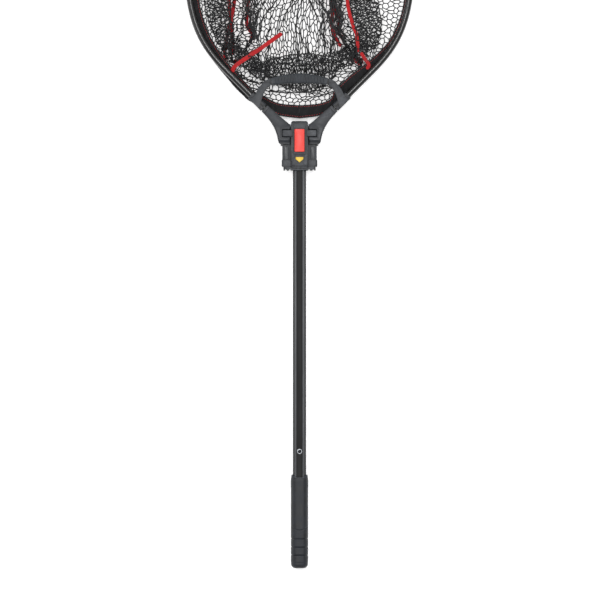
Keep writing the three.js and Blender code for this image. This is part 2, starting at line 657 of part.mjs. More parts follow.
// ---------------------------------------------------------------- assembly
function buildBlock() {
  const block = new THREE.Group();
  addPiece(block, 'front_shell', frontShell(), plastic);
  addPiece(block, 'rear_shell', rearShell(), plastic);
  addPiece(block, 'end_collar', endCollar(), plastic);
  const insert = prism(rounded(19.6, 27.9, -46.3, -24.1, 1.3), 'z', BODY_TOP - 0.9, BODY_TOP - 0.2);
  addPair(block, 'side_insert', insert, insertPlastic);
  const arrow = prism(arrowOutline(GAP), 'z', CHANNEL_TOP - 0.5, CHANNEL_TOP + 0.1);
  addPiece(block, 'arrow_inlay', arrow, yellowPaint);
  addPair(block, 'hinge_pin', rod('x', PIN_R, 12, 36.6, [0, 0, HINGE_Z]), steel);
  addPiece(block, 'return_spring', returnSpring(), steel);
  const corners = SCREW_YS.flatMap((y) => [[-SCREW_X, y], [SCREW_X, y]]);
  corners.forEach(([x, y], i) => {
    addPiece(block, `casing_screw_${i + 1}`, casingScrew().translate(x, y, 0), steel);
  });
  return block;
}

function buildRelease() {
  const release = new THREE.Group();
  addPiece(release, 'slider_plate', sliderPlate(), plastic);
  addPiece(release, 'thumb_button', thumbButton(), redPlastic);
  addPiece(release, 'latch_bolt', latchBolt(), steel);
  return release;
}

function buildHead() {
  const head = new THREE.Group();
  head.position.z = HOOP_Z;
  addPair(head, 'arm', arm(), plastic);
  addPair(head, 'hinge_bush', hingeBush(), brass);
  addPiece(head, 'strike_pin', rod('x', PIN_R, -27.5, 27.5, [0, STRIKE.y, STRIKE.z - HOOP_Z]), steel);
  addPair(head, 'socket', socket(), plastic);
  addPair(head, 'socket_clip', socketClip(), blackPlastic);
  addPair(head, 'socket_screw', socketScrew(), steel);
  addPiece(head, 'carry_handle', carryHandle(), plastic);
  addPiece(head, 'handle_sleeve', handleSleeve(), rubber);
  addPair(head, 'hoop_tube', hoopTube(), glossPaint);
  addPiece(head, 'hoop_ferrule', hoopFerrule(), blackPlastic);
  return head;
}

function buildNet() {
  const net = new THREE.Group();
  addPiece(net, 'rim_band', rimBand(), fabric);
  addPiece(net, 'net_bag', netBag(), netting);
  return net;
}

function buildHandle() {
  const handle = new THREE.Group();
  handle.position.z = TUBE_Z;
  addPiece(handle, 'outer_tube', outerTube(), anodised);
  addPiece(handle, 'tube_bush', tubeBush(), blackPlastic);
  addPiece(handle, 'button_eyelet', buttonEyelet(), steel);
  addPiece(handle, 'grip', grip(), rubber);
  addPiece(handle, 'end_cap', endCap(), rubber);
  addPiece(handle, 'inner_tube', innerTube(), anodised);
  addPiece(handle, 'inner_plug', innerPlug(), blackPlastic);
  addPiece(handle, 'tube_spigot', tubeSpigot(), blackPlastic);
  addPiece(handle, 'spigot_pin', rod('x', PIN_R, -9.2, 9.2, [0, -75, 0]), steel);
  addPiece(handle, 'snap_button', snapButton(), steel);
  addPiece(handle, 'snap_spring', snapSpring(), steel);
  return handle;
}

const group = new THREE.Group();
group.add(buildBlock(), buildRelease(), buildHead(), buildNet(), buildHandle());
export default group;
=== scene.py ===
"""The look of a folding landing net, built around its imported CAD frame.

Lengths are in metres, with +Y towards the hoop and +Z up, away from the floor that the net lies on.
"""

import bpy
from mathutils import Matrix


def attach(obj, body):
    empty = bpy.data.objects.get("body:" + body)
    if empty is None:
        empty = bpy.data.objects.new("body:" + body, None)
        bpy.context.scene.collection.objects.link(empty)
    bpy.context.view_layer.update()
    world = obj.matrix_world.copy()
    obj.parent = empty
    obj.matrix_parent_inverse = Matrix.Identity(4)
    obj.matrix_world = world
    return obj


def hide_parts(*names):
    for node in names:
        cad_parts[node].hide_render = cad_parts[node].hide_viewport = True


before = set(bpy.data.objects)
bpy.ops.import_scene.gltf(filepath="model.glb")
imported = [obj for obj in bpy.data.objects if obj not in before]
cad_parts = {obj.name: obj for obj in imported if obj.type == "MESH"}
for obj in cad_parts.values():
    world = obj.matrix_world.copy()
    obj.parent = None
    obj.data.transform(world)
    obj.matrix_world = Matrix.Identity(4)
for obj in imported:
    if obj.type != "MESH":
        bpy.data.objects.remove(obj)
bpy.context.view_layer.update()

import logging
import math
from dataclasses import dataclass
from enum import Enum
from typing import Any, Iterable, Sequence

import bmesh
import bpy
import numpy as np

MM = 0.001
UP = np.array([0.0, 0.0, 1.0])
TUBE_AXIS_Z = 16 * MM
HOOP_Z = 28 * MM
log = logging.getLogger("landing_net")

Colour = tuple[float, float, float, float]


class Body(str, Enum):
    """The bodies that pieces ride on."""

    BLOCK = "block"
    RELEASE = "release"
    HEAD = "head"
    HANDLE = "handle"
    SNAP = "snap"


class Side(Enum):
    """A side of the net, whose value is the sign of its x."""

    LEFT = -1
    RIGHT = 1


def srgb(code: str) -> Colour:
    """Turns a web colour into a linear one.

    Args:
        code: Six hexadecimal digits after a hash sign.

    Returns:
        Linear red, green, blue, and alpha 1.
    """
    parts = [int(code[i : i + 2], 16) / 255 for i in (1, 3, 5)]
    linear = [c / 12.92 if c <= 0.04045 else ((c + 0.055) / 1.055) ** 2.4 for c in parts]
    return (*linear, 1.0)


# ---------------------------------------------------------------- finishes


class Shader:
    """A new material, with short calls that add nodes to it and join them."""

    def __init__(self, name: str, constants: dict[str, Any]) -> None:
        """Makes the material and sets the shader sockets that are the same all over.

        Args:
            name: The material's name.
            constants: Socket names of the Principled shader and their values.
        """
        self.material = bpy.data.materials.new(name)
        self.material.use_nodes = True
        self.tree = self.material.node_tree
        self.surface = self.tree.nodes["Principled BSDF"]
        for socket, value in constants.items():
            self.surface.inputs[socket].default_value = value

    def add(self, kind: str, inputs: dict[Any, Any] | None = None, **settings: Any) -> bpy.types.Node:
        """Adds a node.

        Args:
            kind: The node's type.
            inputs: Values or output sockets, by input name or index.
            **settings: The node's own properties.

        Returns:
            The node.
        """
        node = self.tree.nodes.new(kind)
        for key, value in settings.items():
            setattr(node, key, value)
        for key, value in (inputs or {}).items():
            if isinstance(value, bpy.types.NodeSocket):
                self.tree.links.new(value, node.inputs[key])
            else:
                node.inputs[key].default_value = value
        return node

    def place(self, stretch: Sequence[float] = (1, 1, 1), space: str = "Object") -> bpy.types.NodeSocket:
        """Gives a texture position, scaled on each axis."""
        coords = self.add("ShaderNodeTexCoord").outputs[space]
        return self.add("ShaderNodeMapping", {"Vector": coords, "Scale": stretch}).outputs[0]

    def noise(self, where: bpy.types.NodeSocket, scale: float, detail: float = 2) -> bpy.types.NodeSocket:
        """Gives noise at a position, `scale` grains to the metre."""
        inputs = {"Vector": where, "Scale": scale, "Detail": detail}
        return self.add("ShaderNodeTexNoise", inputs).outputs["Fac"]

    def ramp(self, factor: bpy.types.NodeSocket, low: float, high: float) -> bpy.types.NodeSocket:
        """Stretches low..high of a factor to 0..1."""
        inputs = {"Value": factor, "From Min": low, "From Max": high}
        return self.add("ShaderNodeMapRange", inputs, clamp=True).outputs[0]

    def span(self, factor: bpy.types.NodeSocket, low: float, high: float) -> bpy.types.NodeSocket:
        """Turns a factor of 0..1 into low..high."""
        inputs = {"Value": factor, "To Min": low, "To Max": high}
        return self.add("ShaderNodeMapRange", inputs, clamp=True).outputs[0]

    def mix(self, factor: Any, first: Any, second: Any) -> bpy.types.NodeSocket:
        """Mixes two colours."""
        return self.add("ShaderNodeMix", {0: factor, 6: first, 7: second}, data_type="RGBA").outputs[2]

    def calc(self, operation: str, *values: Any) -> bpy.types.NodeSocket:
        """Does one step of arithmetic."""
        return self.add("ShaderNodeMath", dict(enumerate(values)), operation=operation).outputs[0]

    def axes(self, where: bpy.types.NodeSocket) -> list[bpy.types.NodeSocket]:
        """Splits a position into x, y and z."""
        return list(self.add("ShaderNodeSeparateXYZ", {0: where}).outputs)

    def edge_wear(self, low: float = 0.52, high: float = 0.6) -> bpy.types.NodeSocket:
        """Is 1 along outer edges and 0 on faces."""
        return self.ramp(self.add("ShaderNodeNewGeometry").outputs["Pointiness"], low, high)

    def shelter(self, reach: float) -> bpy.types.NodeSocket:
        """Is 1 on open surfaces and falls to 0 in gaps and corners narrower than `reach`."""
        open_to_air = self.add("ShaderNodeAmbientOcclusion", {"Distance": reach}, samples=6).outputs["AO"]
        return self.ramp(open_to_air, 0.5, 0.98)

    def bump(self, height: bpy.types.NodeSocket, depth: float, strength: float = 1.0,
             below: Any = None) -> Any:
        """Turns a height of 0..1 into a bump of so many metres, over an optional coarser one."""
        inputs = {"Height": height, "Distance": depth, "Strength": strength}
        if below is not None:
            inputs["Normal"] = below
        return self.add("ShaderNodeBump", inputs).outputs[0]

    def finish(self, colour: Any, roughness: Any, normal: Any = None) -> bpy.types.Material:
        """Joins the shader's varying inputs and returns the material."""
        for name, value in (("Base Color", colour), ("Roughness", roughness), ("Normal", normal)):
            if isinstance(value, bpy.types.NodeSocket):
                self.tree.links.new(value, self.surface.inputs[name])
            elif value is not None:
                self.surface.inputs[name].default_value = value
        return self.material


@dataclass(frozen=True)
class MouldedPlastic:
    """Moulded plastic with a spark-eroded grain, edges that have rubbed lighter, and painted shade darkening
    its gaps and corners.
    """

    name: str
    colour: str
    worn: str
    roughness: float = 0.48
    grain: float = 2300
    depth: float = 0.05 * MM
    specular: float = 0.4
    # The colour painted into gaps and corners as shade.
    crevice_shade: str = "#060607"
    gap: float = 4 * MM

    def material(self) -> bpy.types.Material:
        """Returns the material."""
        shader = Shader(self.name, {"Specular IOR Level": self.specular})
        where = shader.place()
        cloud = shader.ramp(shader.noise(where, 38, 4), 0.35, 0.68)
        tone = shader.mix(shader.span(cloud, 0.0, 0.07), srgb(self.colour), srgb(self.worn))
        rub = shader.calc("MULTIPLY", shader.edge_wear(), shader.ramp(shader.noise(where, 220, 3), 0.3, 0.7))
        tone = shader.mix(shader.calc("MULTIPLY", rub, 0.35), tone, srgb(self.worn))
        # Painted shade: surfaces within `gap` of another surface are mixed towards the crevice shade colour.
        colour = shader.mix(shader.shelter(self.gap), srgb(self.crevice_shade), tone)
        grain = shader.noise(where, self.grain, 2)
        gloss = shader.span(cloud, self.roughness - 0.05, self.roughness + 0.06)
        return shader.finish(colour, gloss, shader.bump(grain, self.depth, 0.6))


@dataclass(frozen=True)
class DrawnTube:
    """Black anodised tube: fine lengthwise draw lines, a painted highlight on the flat ridges beside the
    channel, and painted shade in the sunk channel.
    """

    name: str
    colour: str
    highlight_and_line_tone: str
    channel_shade: str
    roughness: float = 0.34
    channel_half: float = 5.2 * MM
    ridge_half: float = 8.7 * MM

    def material(self) -> bpy.types.Material:
        """Returns the material."""
        shader = Shader(self.name, {"Metallic": 0.35, "Specular IOR Level": 0.5})
        where = shader.place()
        lines = shader.noise(shader.place((2600, 9, 2600)), 1, 2)
        off_axis = shader.calc("ABSOLUTE", shader.axes(where)[0])
        edge = 0.35 * MM
        sunk = shader.ramp(off_axis, self.channel_half + edge, self.channel_half - edge)
        outside = shader.ramp(off_axis, self.ridge_half - edge, self.ridge_half + edge)
        patches = shader.ramp(shader.noise(shader.place((60, 8, 60)), 1, 3), 0.4, 0.65)
        # Painted highlight: the flat ridges beside the channel take mostly the light tone, as a reflection of
        # the overhead light; past them the light tone shows only in the draw lines.
        highlit_ridges = shader.mix(shader.span(lines, 0.3, 0.9), srgb(self.colour), srgb(self.highlight_and_line_tone))
        plain = shader.mix(shader.span(lines, 0.0, 0.25), srgb(self.colour), srgb(self.highlight_and_line_tone))
        tone = shader.mix(outside, highlit_ridges, plain)
        # Painted shade: the sunk channel is coloured near black.
        tone = shader.mix(sunk, tone, srgb(self.channel_shade))
        gloss = shader.calc("ADD", shader.span(patches, self.roughness, self.roughness + 0.08),
                            shader.calc("MULTIPLY", sunk, 0.25))
        return shader.finish(tone, gloss, shader.bump(lines, 0.02 * MM, 0.5))


@dataclass(frozen=True)
class GlossLacquer:
    """Black lacquer over a bent tube, with a slight ripple and small dull scuffs."""

    name: str
    colour: str
    scuffed: str
    roughness: float = 0.12

    def material(self) -> bpy.types.Material:
        """Returns the material."""
        shader = Shader(self.name, {"Coat Weight": 0.35, "Coat Roughness": 0.06, "Specular IOR Level": 0.4})
        where = shader.place()
        scuffs = shader.ramp(shader.noise(where, 900, 3), 0.66, 0.74)
        colour = shader.mix(scuffs, srgb(self.colour), srgb(self.scuffed))
        ripple = shader.noise(where, 160, 2)
        gloss = shader.span(scuffs, self.roughness, 0.4)
        return shader.finish(colour, gloss, shader.bump(ripple, 0.03 * MM, 0.6))


@dataclass(frozen=True)
class TurnedMetal:
    """Bare metal with fine turning marks and a little tarnish."""

    name: str
    colour: str
    tarnish: str
    roughness: float = 0.24

    def material(self) -> bpy.types.Material:
        """Returns the material."""
        shader = Shader(self.name, {"Metallic": 1.0})
        where = shader.place()
        stain = shader.ramp(shader.noise(where, 420, 4), 0.45, 0.72)
        colour = shader.mix(shader.calc("MULTIPLY", stain, 0.5), srgb(self.colour), srgb(self.tarnish))
        marks = shader.noise(shader.place((1, 1, 9)), 2600, 1)
        return shader.finish(colour, shader.span(stain, self.roughness, self.roughness + 0.14),
                             shader.bump(marks, 0.01 * MM, 0.5))


@dataclass(frozen=True)
class SoftRubber:
    """Matt rubber with a fine pebbled skin and a dusting that lightens its high spots."""

    name: str
    colour: str
    dusted: str
    roughness: float = 0.56

    def material(self) -> bpy.types.Material:
        """Returns the material."""
        shader = Shader(self.name, {"Sheen Weight": 0.12, "Sheen Roughness": 0.4, "Specular IOR Level": 0.4})
        where = shader.place()
        dust = shader.ramp(shader.noise(where, 70, 5), 0.4, 0.7)
        shine = shader.calc("MAXIMUM", shader.calc("MULTIPLY", dust, 0.22), shader.edge_wear())
        colour = shader.mix(shine, srgb(self.colour), srgb(self.dusted))
        pebble = shader.add("ShaderNodeTexVoronoi", {"Vector": where, "Scale": 1500}).outputs["Distance"]
        return shader.finish(colour, shader.span(dust, self.roughness - 0.06, self.roughness + 0.08),
                             shader.bump(pebble, 0.06 * MM, 0.6))


@dataclass(frozen=True)
class WovenFabric:
    """Plain-woven polyester, whose UVs are in metres along and across the cloth."""

    name: str
    colour: str
    thread: str
    pitch: float = 0.7 * MM
    across_only: bool = False
    sheen: float = 0.3

    def material(self) -> bpy.types.Material:
        """Returns the material."""
        shader = Shader(self.name, {"Sheen Weight": self.sheen, "Sheen Roughness": 0.5,
                                    "Specular IOR Level": 0.25})
        where = shader.place(space="UV")
        along, across, _ = shader.axes(where)
        turn = 2 * math.pi / self.pitch
        warp = shader.calc("SINE", shader.calc("MULTIPLY", along, turn))
        weft = shader.calc("SINE", shader.calc("MULTIPLY", across, turn))
        weave = warp if self.across_only else shader.calc("MULTIPLY", warp, weft)
        height = shader.ramp(weave, -1, 1)
        fuzz = shader.noise(shader.place(), 1400, 3)
        fade = shader.ramp(shader.noise(shader.place(), 32, 4), 0.35, 0.7)
        tone = shader.mix(shader.calc("MULTIPLY", height, 0.55), srgb(self.colour), srgb(self.thread))
        tone = shader.mix(shader.calc("MULTIPLY", fade, 0.4), tone, srgb(self.thread))
        below = shader.bump(fuzz, 0.05 * MM, 0.5)
        weave_bump = shader.bump(height, self.pitch / 4, 0.8, below)
        return shader.finish(tone, shader.span(fuzz, 0.7, 0.9), weave_bump)


@dataclass(frozen=True)
class RubberCoating:
    """The dipped rubber skin on the mesh's cords, pooled a little thicker in places."""

    name: str
    colour: str
    thin: str

    def material(self) -> bpy.types.Material:
        """Returns the material."""
        shader = Shader(self.name, {"Specular IOR Level": 0.35})
        where = shader.place()
        pooled = shader.ramp(shader.noise(where, 210, 3), 0.38, 0.66)
        colour = shader.mix(pooled, srgb(self.thin), srgb(self.colour))
        lumps = shader.noise(where, 1700, 2)
        return shader.finish(colour, shader.span(pooled, 0.5, 0.36), shader.bump(lumps, 0.08 * MM, 0.7))


class Finishes:
    """Every finish on the net, made once."""

    def __init__(self) -> None:
        """Makes the materials."""
        self.casing = MouldedPlastic("slate_casing", "#1b1e23", "#565a61").material()
        self.insert = MouldedPlastic("insert_panel", "#1b1e22", "#4c5158", roughness=0.34).material()
        self.black = MouldedPlastic("black_moulding", "#131416", "#3a3c40", roughness=0.42).material()
        self.thumb = MouldedPlastic("thumb_red", "#cf200d", "#f27a60", roughness=0.36,
                                    crevice_shade="#6a100a").material()
        self.arrow = MouldedPlastic("arrow_yellow", "#c9a404", "#f5e68a", roughness=0.4,
                                    crevice_shade="#5a4608").material()
        self.tube = DrawnTube("drawn_tube", "#0c0d0f", "#3a3c40", "#030304").material()
        self.hoop = GlossLacquer("gloss_hoop", "#030304", "#1a1b1e").material()
        self.steel = TurnedMetal("bright_steel", "#9a9da1", "#55585c", roughness=0.3).material()
        self.dark_steel = TurnedMetal("blackened_steel", "#2c2d30", "#151618", roughness=0.38).material()
        self.brass = TurnedMetal("bush_brass_turned", "#c79a4a", "#8a6a35", roughness=0.3).material()
        self.grip = SoftRubber("grip_skin", "#0c0f15", "#343b48").material()
        self.sleeve = SoftRubber("sleeve_skin", "#1f2226", "#50565e").material()
        self.fabric = WovenFabric("band_cloth", "#020203", "#141518").material()
        self.mesh = RubberCoating("net_coating", "#08090a", "#16171a").material()
        self.tape = WovenFabric("binding_red", "#86080e", "#c41c20", pitch=1.9 * MM,
                                across_only=True).material()
        # A darker copy of the red binding tape, as painted shade for the tapes that lie under the netting.
        self.shaded_tape = WovenFabric("binding_dark", "#7c0d14", "#b01c24", pitch=1.9 * MM,
                                     across_only=True).material()
        self.thread = WovenFabric("stitch_red", "#860b13", "#b82730", pitch=0.8 * MM,
                                  across_only=True).material()


# ---------------------------------------------------------------- mesh making


def new_piece(name: str, verts: Any, faces: Iterable, material: bpy.types.Material, uvs: Any = None,
              smooth: bool = True) -> bpy.types.Object:
    """Makes a mesh object.

    Args:
        name: The piece's name.
        verts: Its points, in metres.
        faces: Its faces, as point numbers.
        material: Its material.
        uvs: One UV to each point, in metres, or None.
        smooth: Whether its faces are shaded smooth.

    Returns:
        The object, linked into the scene.
    """
    mesh = bpy.data.meshes.new(name)
    mesh.from_pydata([tuple(map(float, v)) for v in verts], [], [tuple(map(int, f)) for f in faces])
    if uvs is not None:
        layer = mesh.uv_layers.new(name="metres")
        corners = np.empty(len(mesh.loops), dtype=np.int32)
        mesh.loops.foreach_get("vertex_index", corners)
        layer.data.foreach_set("uv", np.asarray(uvs, dtype=np.float32)[corners].ravel())
    mesh.polygons.foreach_set("use_smooth", [smooth] * len(mesh.polygons))
    mesh.materials.append(material)
    mesh.update()
    piece = bpy.data.objects.new(name, mesh)
    bpy.context.scene.collection.objects.link(piece)
    return piece


def tangents(path: np.ndarray, closed: bool = False) -> np.ndarray:
    """Gives the unit direction of a path at each of its points."""
    if closed:
        step = np.roll(path, -1, axis=0) - np.roll(path, 1, axis=0)
    else:
        step = np.gradient(path, axis=0)
    return step / np.linalg.norm(step, axis=1)[:, None]


def lengths(path: np.ndarray) -> np.ndarray:
    """Gives the distance along a path to each of its points."""
    return np.concatenate([[0], np.cumsum(np.linalg.norm(np.diff(path, axis=0), axis=1))])


def resample(path: np.ndarray, count: int) -> np.ndarray:
    """Spaces `count` points evenly along a path."""
    distance = lengths(path)
    wanted = np.linspace(0, distance[-1], count)
    return np.stack([np.interp(wanted, distance, path[:, axis]) for axis in range(path.shape[1])], axis=1)


def smooth_path(points: Sequence[Sequence[float]], count: int) -> np.ndarray:
    """Draws a smooth curve through points.

    Args:
        points: The points it passes, in metres.
        count: How many points the curve has.

    Returns:
        The curve's points, evenly spaced.
    """
    known = np.asarray(points, dtype=float)
    padded = np.vstack([2 * known[0] - known[1], known, 2 * known[-1] - known[-2]])
    curve = []
    t = np.linspace(0, 1, 12, endpoint=False)[:, None]
    for p0, p1, p2, p3 in zip(padded, padded[1:], padded[2:], padded[3:]):
        curve.append(0.5 * (2 * p1 + (p2 - p0) * t + (2 * p0 - 5 * p1 + 4 * p2 - p3) * t**2
                            + (3 * p1 - p0 - 3 * p2 + p3) * t**3))
    return resample(np.vstack([*curve, known[-1:]]), count)


def grid_faces(rows: int, columns: int, wrap_rows: bool, wrap_columns: bool) -> list[tuple[int, ...]]:
    """Gives the faces of a grid of points, row by row."""
    faces = []
    for row in range(rows if wrap_rows else rows - 1):
        below = (row + 1) % rows * columns
        for column in range(columns if wrap_columns else columns - 1):
            after = (column + 1) % columns
            faces.append((row * columns + column, row * columns + after, below + after, below + column))
    return faces


def sweep(path: np.ndarray, sections: np.ndarray, closed: bool = False) -> tuple[np.ndarray, list]:
    """Sweeps a closed section along a path that lies roughly level.

    Args:
        path: The path's points.
        sections: One section, or one to each point, as (sideways, up) pairs running clockwise.
        closed: Whether the path joins its own start.

    Returns:
        The points and faces of the swept solid, capped where it is open.
    """
    direction = tangents(path, closed)
    side = np.cross(direction, UP)
    side /= np.linalg.norm(side, axis=1)[:, None]
    lift = np.cross(side, direction)
    sections = np.broadcast_to(sections, (len(path), *np.asarray(sections).shape[-2:]))
    rings = path[:, None] + side[:, None] * sections[..., :1] + lift[:, None] * sections[..., 1:]
    verts = rings.reshape(-1, 3)
    count = sections.shape[1]
    faces = grid_faces(len(path), count, closed, True)
    if not closed:
        faces.append(tuple(range(count))[::-1])
        faces.append(tuple(range(len(verts) - count, len(verts))))
    return verts, faces


def oval(width: float, height: float, count: int, square: float = 1.0) -> np.ndarray:
    """Gives an oval section of `count` points, squarer as `square` falls below 1."""
    angle = 2 * math.pi * np.arange(count) / count
    wave = np.stack([np.cos(angle), np.sin(angle)], axis=1)
    return np.sign(wave) * np.abs(wave) ** square * [width / 2, height / 2]


def smooth_by_angle(piece: bpy.types.Object, degrees: float = 30) -> None:
    """Shades a mesh smooth, except across edges sharper than an angle."""
    piece.data.polygons.foreach_set("use_smooth", [True] * len(piece.data.polygons))
    form = bmesh.new()
    form.from_mesh(piece.data)
    for edge in form.edges:
        edge.smooth = edge.calc_face_angle(math.pi) < math.radians(degrees)
    form.to_mesh(piece.data)
    form.free()


def softened_copy(node: str, material: bpy.types.Material, radius: float,
                  segments: int = 2) -> bpy.types.Object:
    """Copies a CAD node's mesh as a new piece with rounded edges.

    Args:
        node: The CAD node.
        material: The new piece's material.
        radius: The radius of its edges.
        segments: How many faces round an edge.

    Returns:
        The new piece, which stands for the node.
    """
    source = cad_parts[node]
    piece = bpy.data.objects.new(f"{node}_finished", source.data.copy())
    bpy.context.scene.collection.objects.link(piece)
    form = bmesh.new()
    form.from_mesh(piece.data)
    bmesh.ops.remove_doubles(form, verts=form.verts, dist=0.01 * MM)
    bmesh.ops.dissolve_limit(form, angle_limit=math.radians(1.5), verts=form.verts, edges=form.edges)
    form.to_mesh(piece.data)
    form.free()
    piece.data.materials.clear()
    piece.data.materials.append(material)
    bevel = piece.modifiers.new("rounded edges", "BEVEL")
    bevel.width = radius
    bevel.segments = segments
    bevel.limit_method = "ANGLE"
    bevel.angle_limit = math.radians(32)
    bevel.use_clamp_overlap = True
    bevel.harden_normals = False
    baked = bpy.data.meshes.new_from_object(piece.evaluated_get(bpy.context.evaluated_depsgraph_get()))
    piece.modifiers.clear()
    piece.data = baked
    smooth_by_angle(piece, 34)
    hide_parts(node)
    return piece


def mount(piece: bpy.types.Object, body: Body) -> bpy.types.Object:
    """Makes a piece ride on a body and logs its face count."""
    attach(piece, body.value)
    log.info("%s rides on %s: %d faces", piece.name, body.value, len(piece.data.polygons))
    return piece


def dress(node: str, material: bpy.types.Material) -> None:
    """Gives a carried-over CAD node a better material."""
    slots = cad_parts[node].material_slots
    for index in range(len(slots)):
        slots[index].material = material
    log.info("%s keeps its CAD shape", node)


# ---------------------------------------------------------------- hinge block, release and handle


@dataclass
class HingeBlock:
    """The casing that the hoop's arms hinge on, with its pins, screws and inlays."""

    edge: float = 0.45 * MM
    fine_edge: float = 0.2 * MM

    def build(self, finish: Finishes) -> None:
        """Builds the block and dresses the parts inside it.

        Args:
            finish: The net's finishes.
        """
        self.casings(finish)
        self.inlays(finish)
        self.hidden(finish)

    def casings(self, finish: Finishes) -> None:
        """Builds the two casings and the collar."""
        for node in ("front_shell", "rear_shell", "end_collar"):
            mount(softened_copy(node, finish.casing, self.edge), Body.BLOCK)

    def inlays(self, finish: Finishes) -> None:
        """Builds the side panels' inlays and the arrow."""
        for side in Side:
            node = f"side_insert_{side.name.lower()}"
            mount(softened_copy(node, finish.insert, self.fine_edge), Body.BLOCK)
        mount(softened_copy("arrow_inlay", finish.arrow, self.fine_edge), Body.BLOCK)

    def hidden(self, finish: Finishes) -> None:
        """Dresses the fixings and the inner tube, which keep their CAD shapes."""
        for node in ("casing_screw_1", "casing_screw_2", "casing_screw_3", "casing_screw_4", "spigot_pin",
                     "return_spring", "snap_spring"):
            dress(node, finish.steel)
        for node in ("hinge_pin_left", "hinge_pin_right"):
            dress(node, finish.dark_steel)
        for node in ("tube_spigot", "inner_plug"):
            dress(node, finish.black)
        dress("inner_tube", finish.tube)


@dataclass
class Release:
    """The slider that frees the hoop, with its red thumb button."""

    edge: float = 0.35 * MM
    thumb_edge: float = 0.7 * MM

    def build(self, finish: Finishes) -> None:
        """Builds the slider and the button, and dresses the bolt.

        Args:
            finish: The net's finishes.
        """
        mount(softened_copy("slider_plate", finish.casing, self.edge), Body.RELEASE)
        mount(softened_copy("thumb_button", finish.thumb, self.thumb_edge, 3), Body.RELEASE)
        dress("latch_bolt", finish.steel)


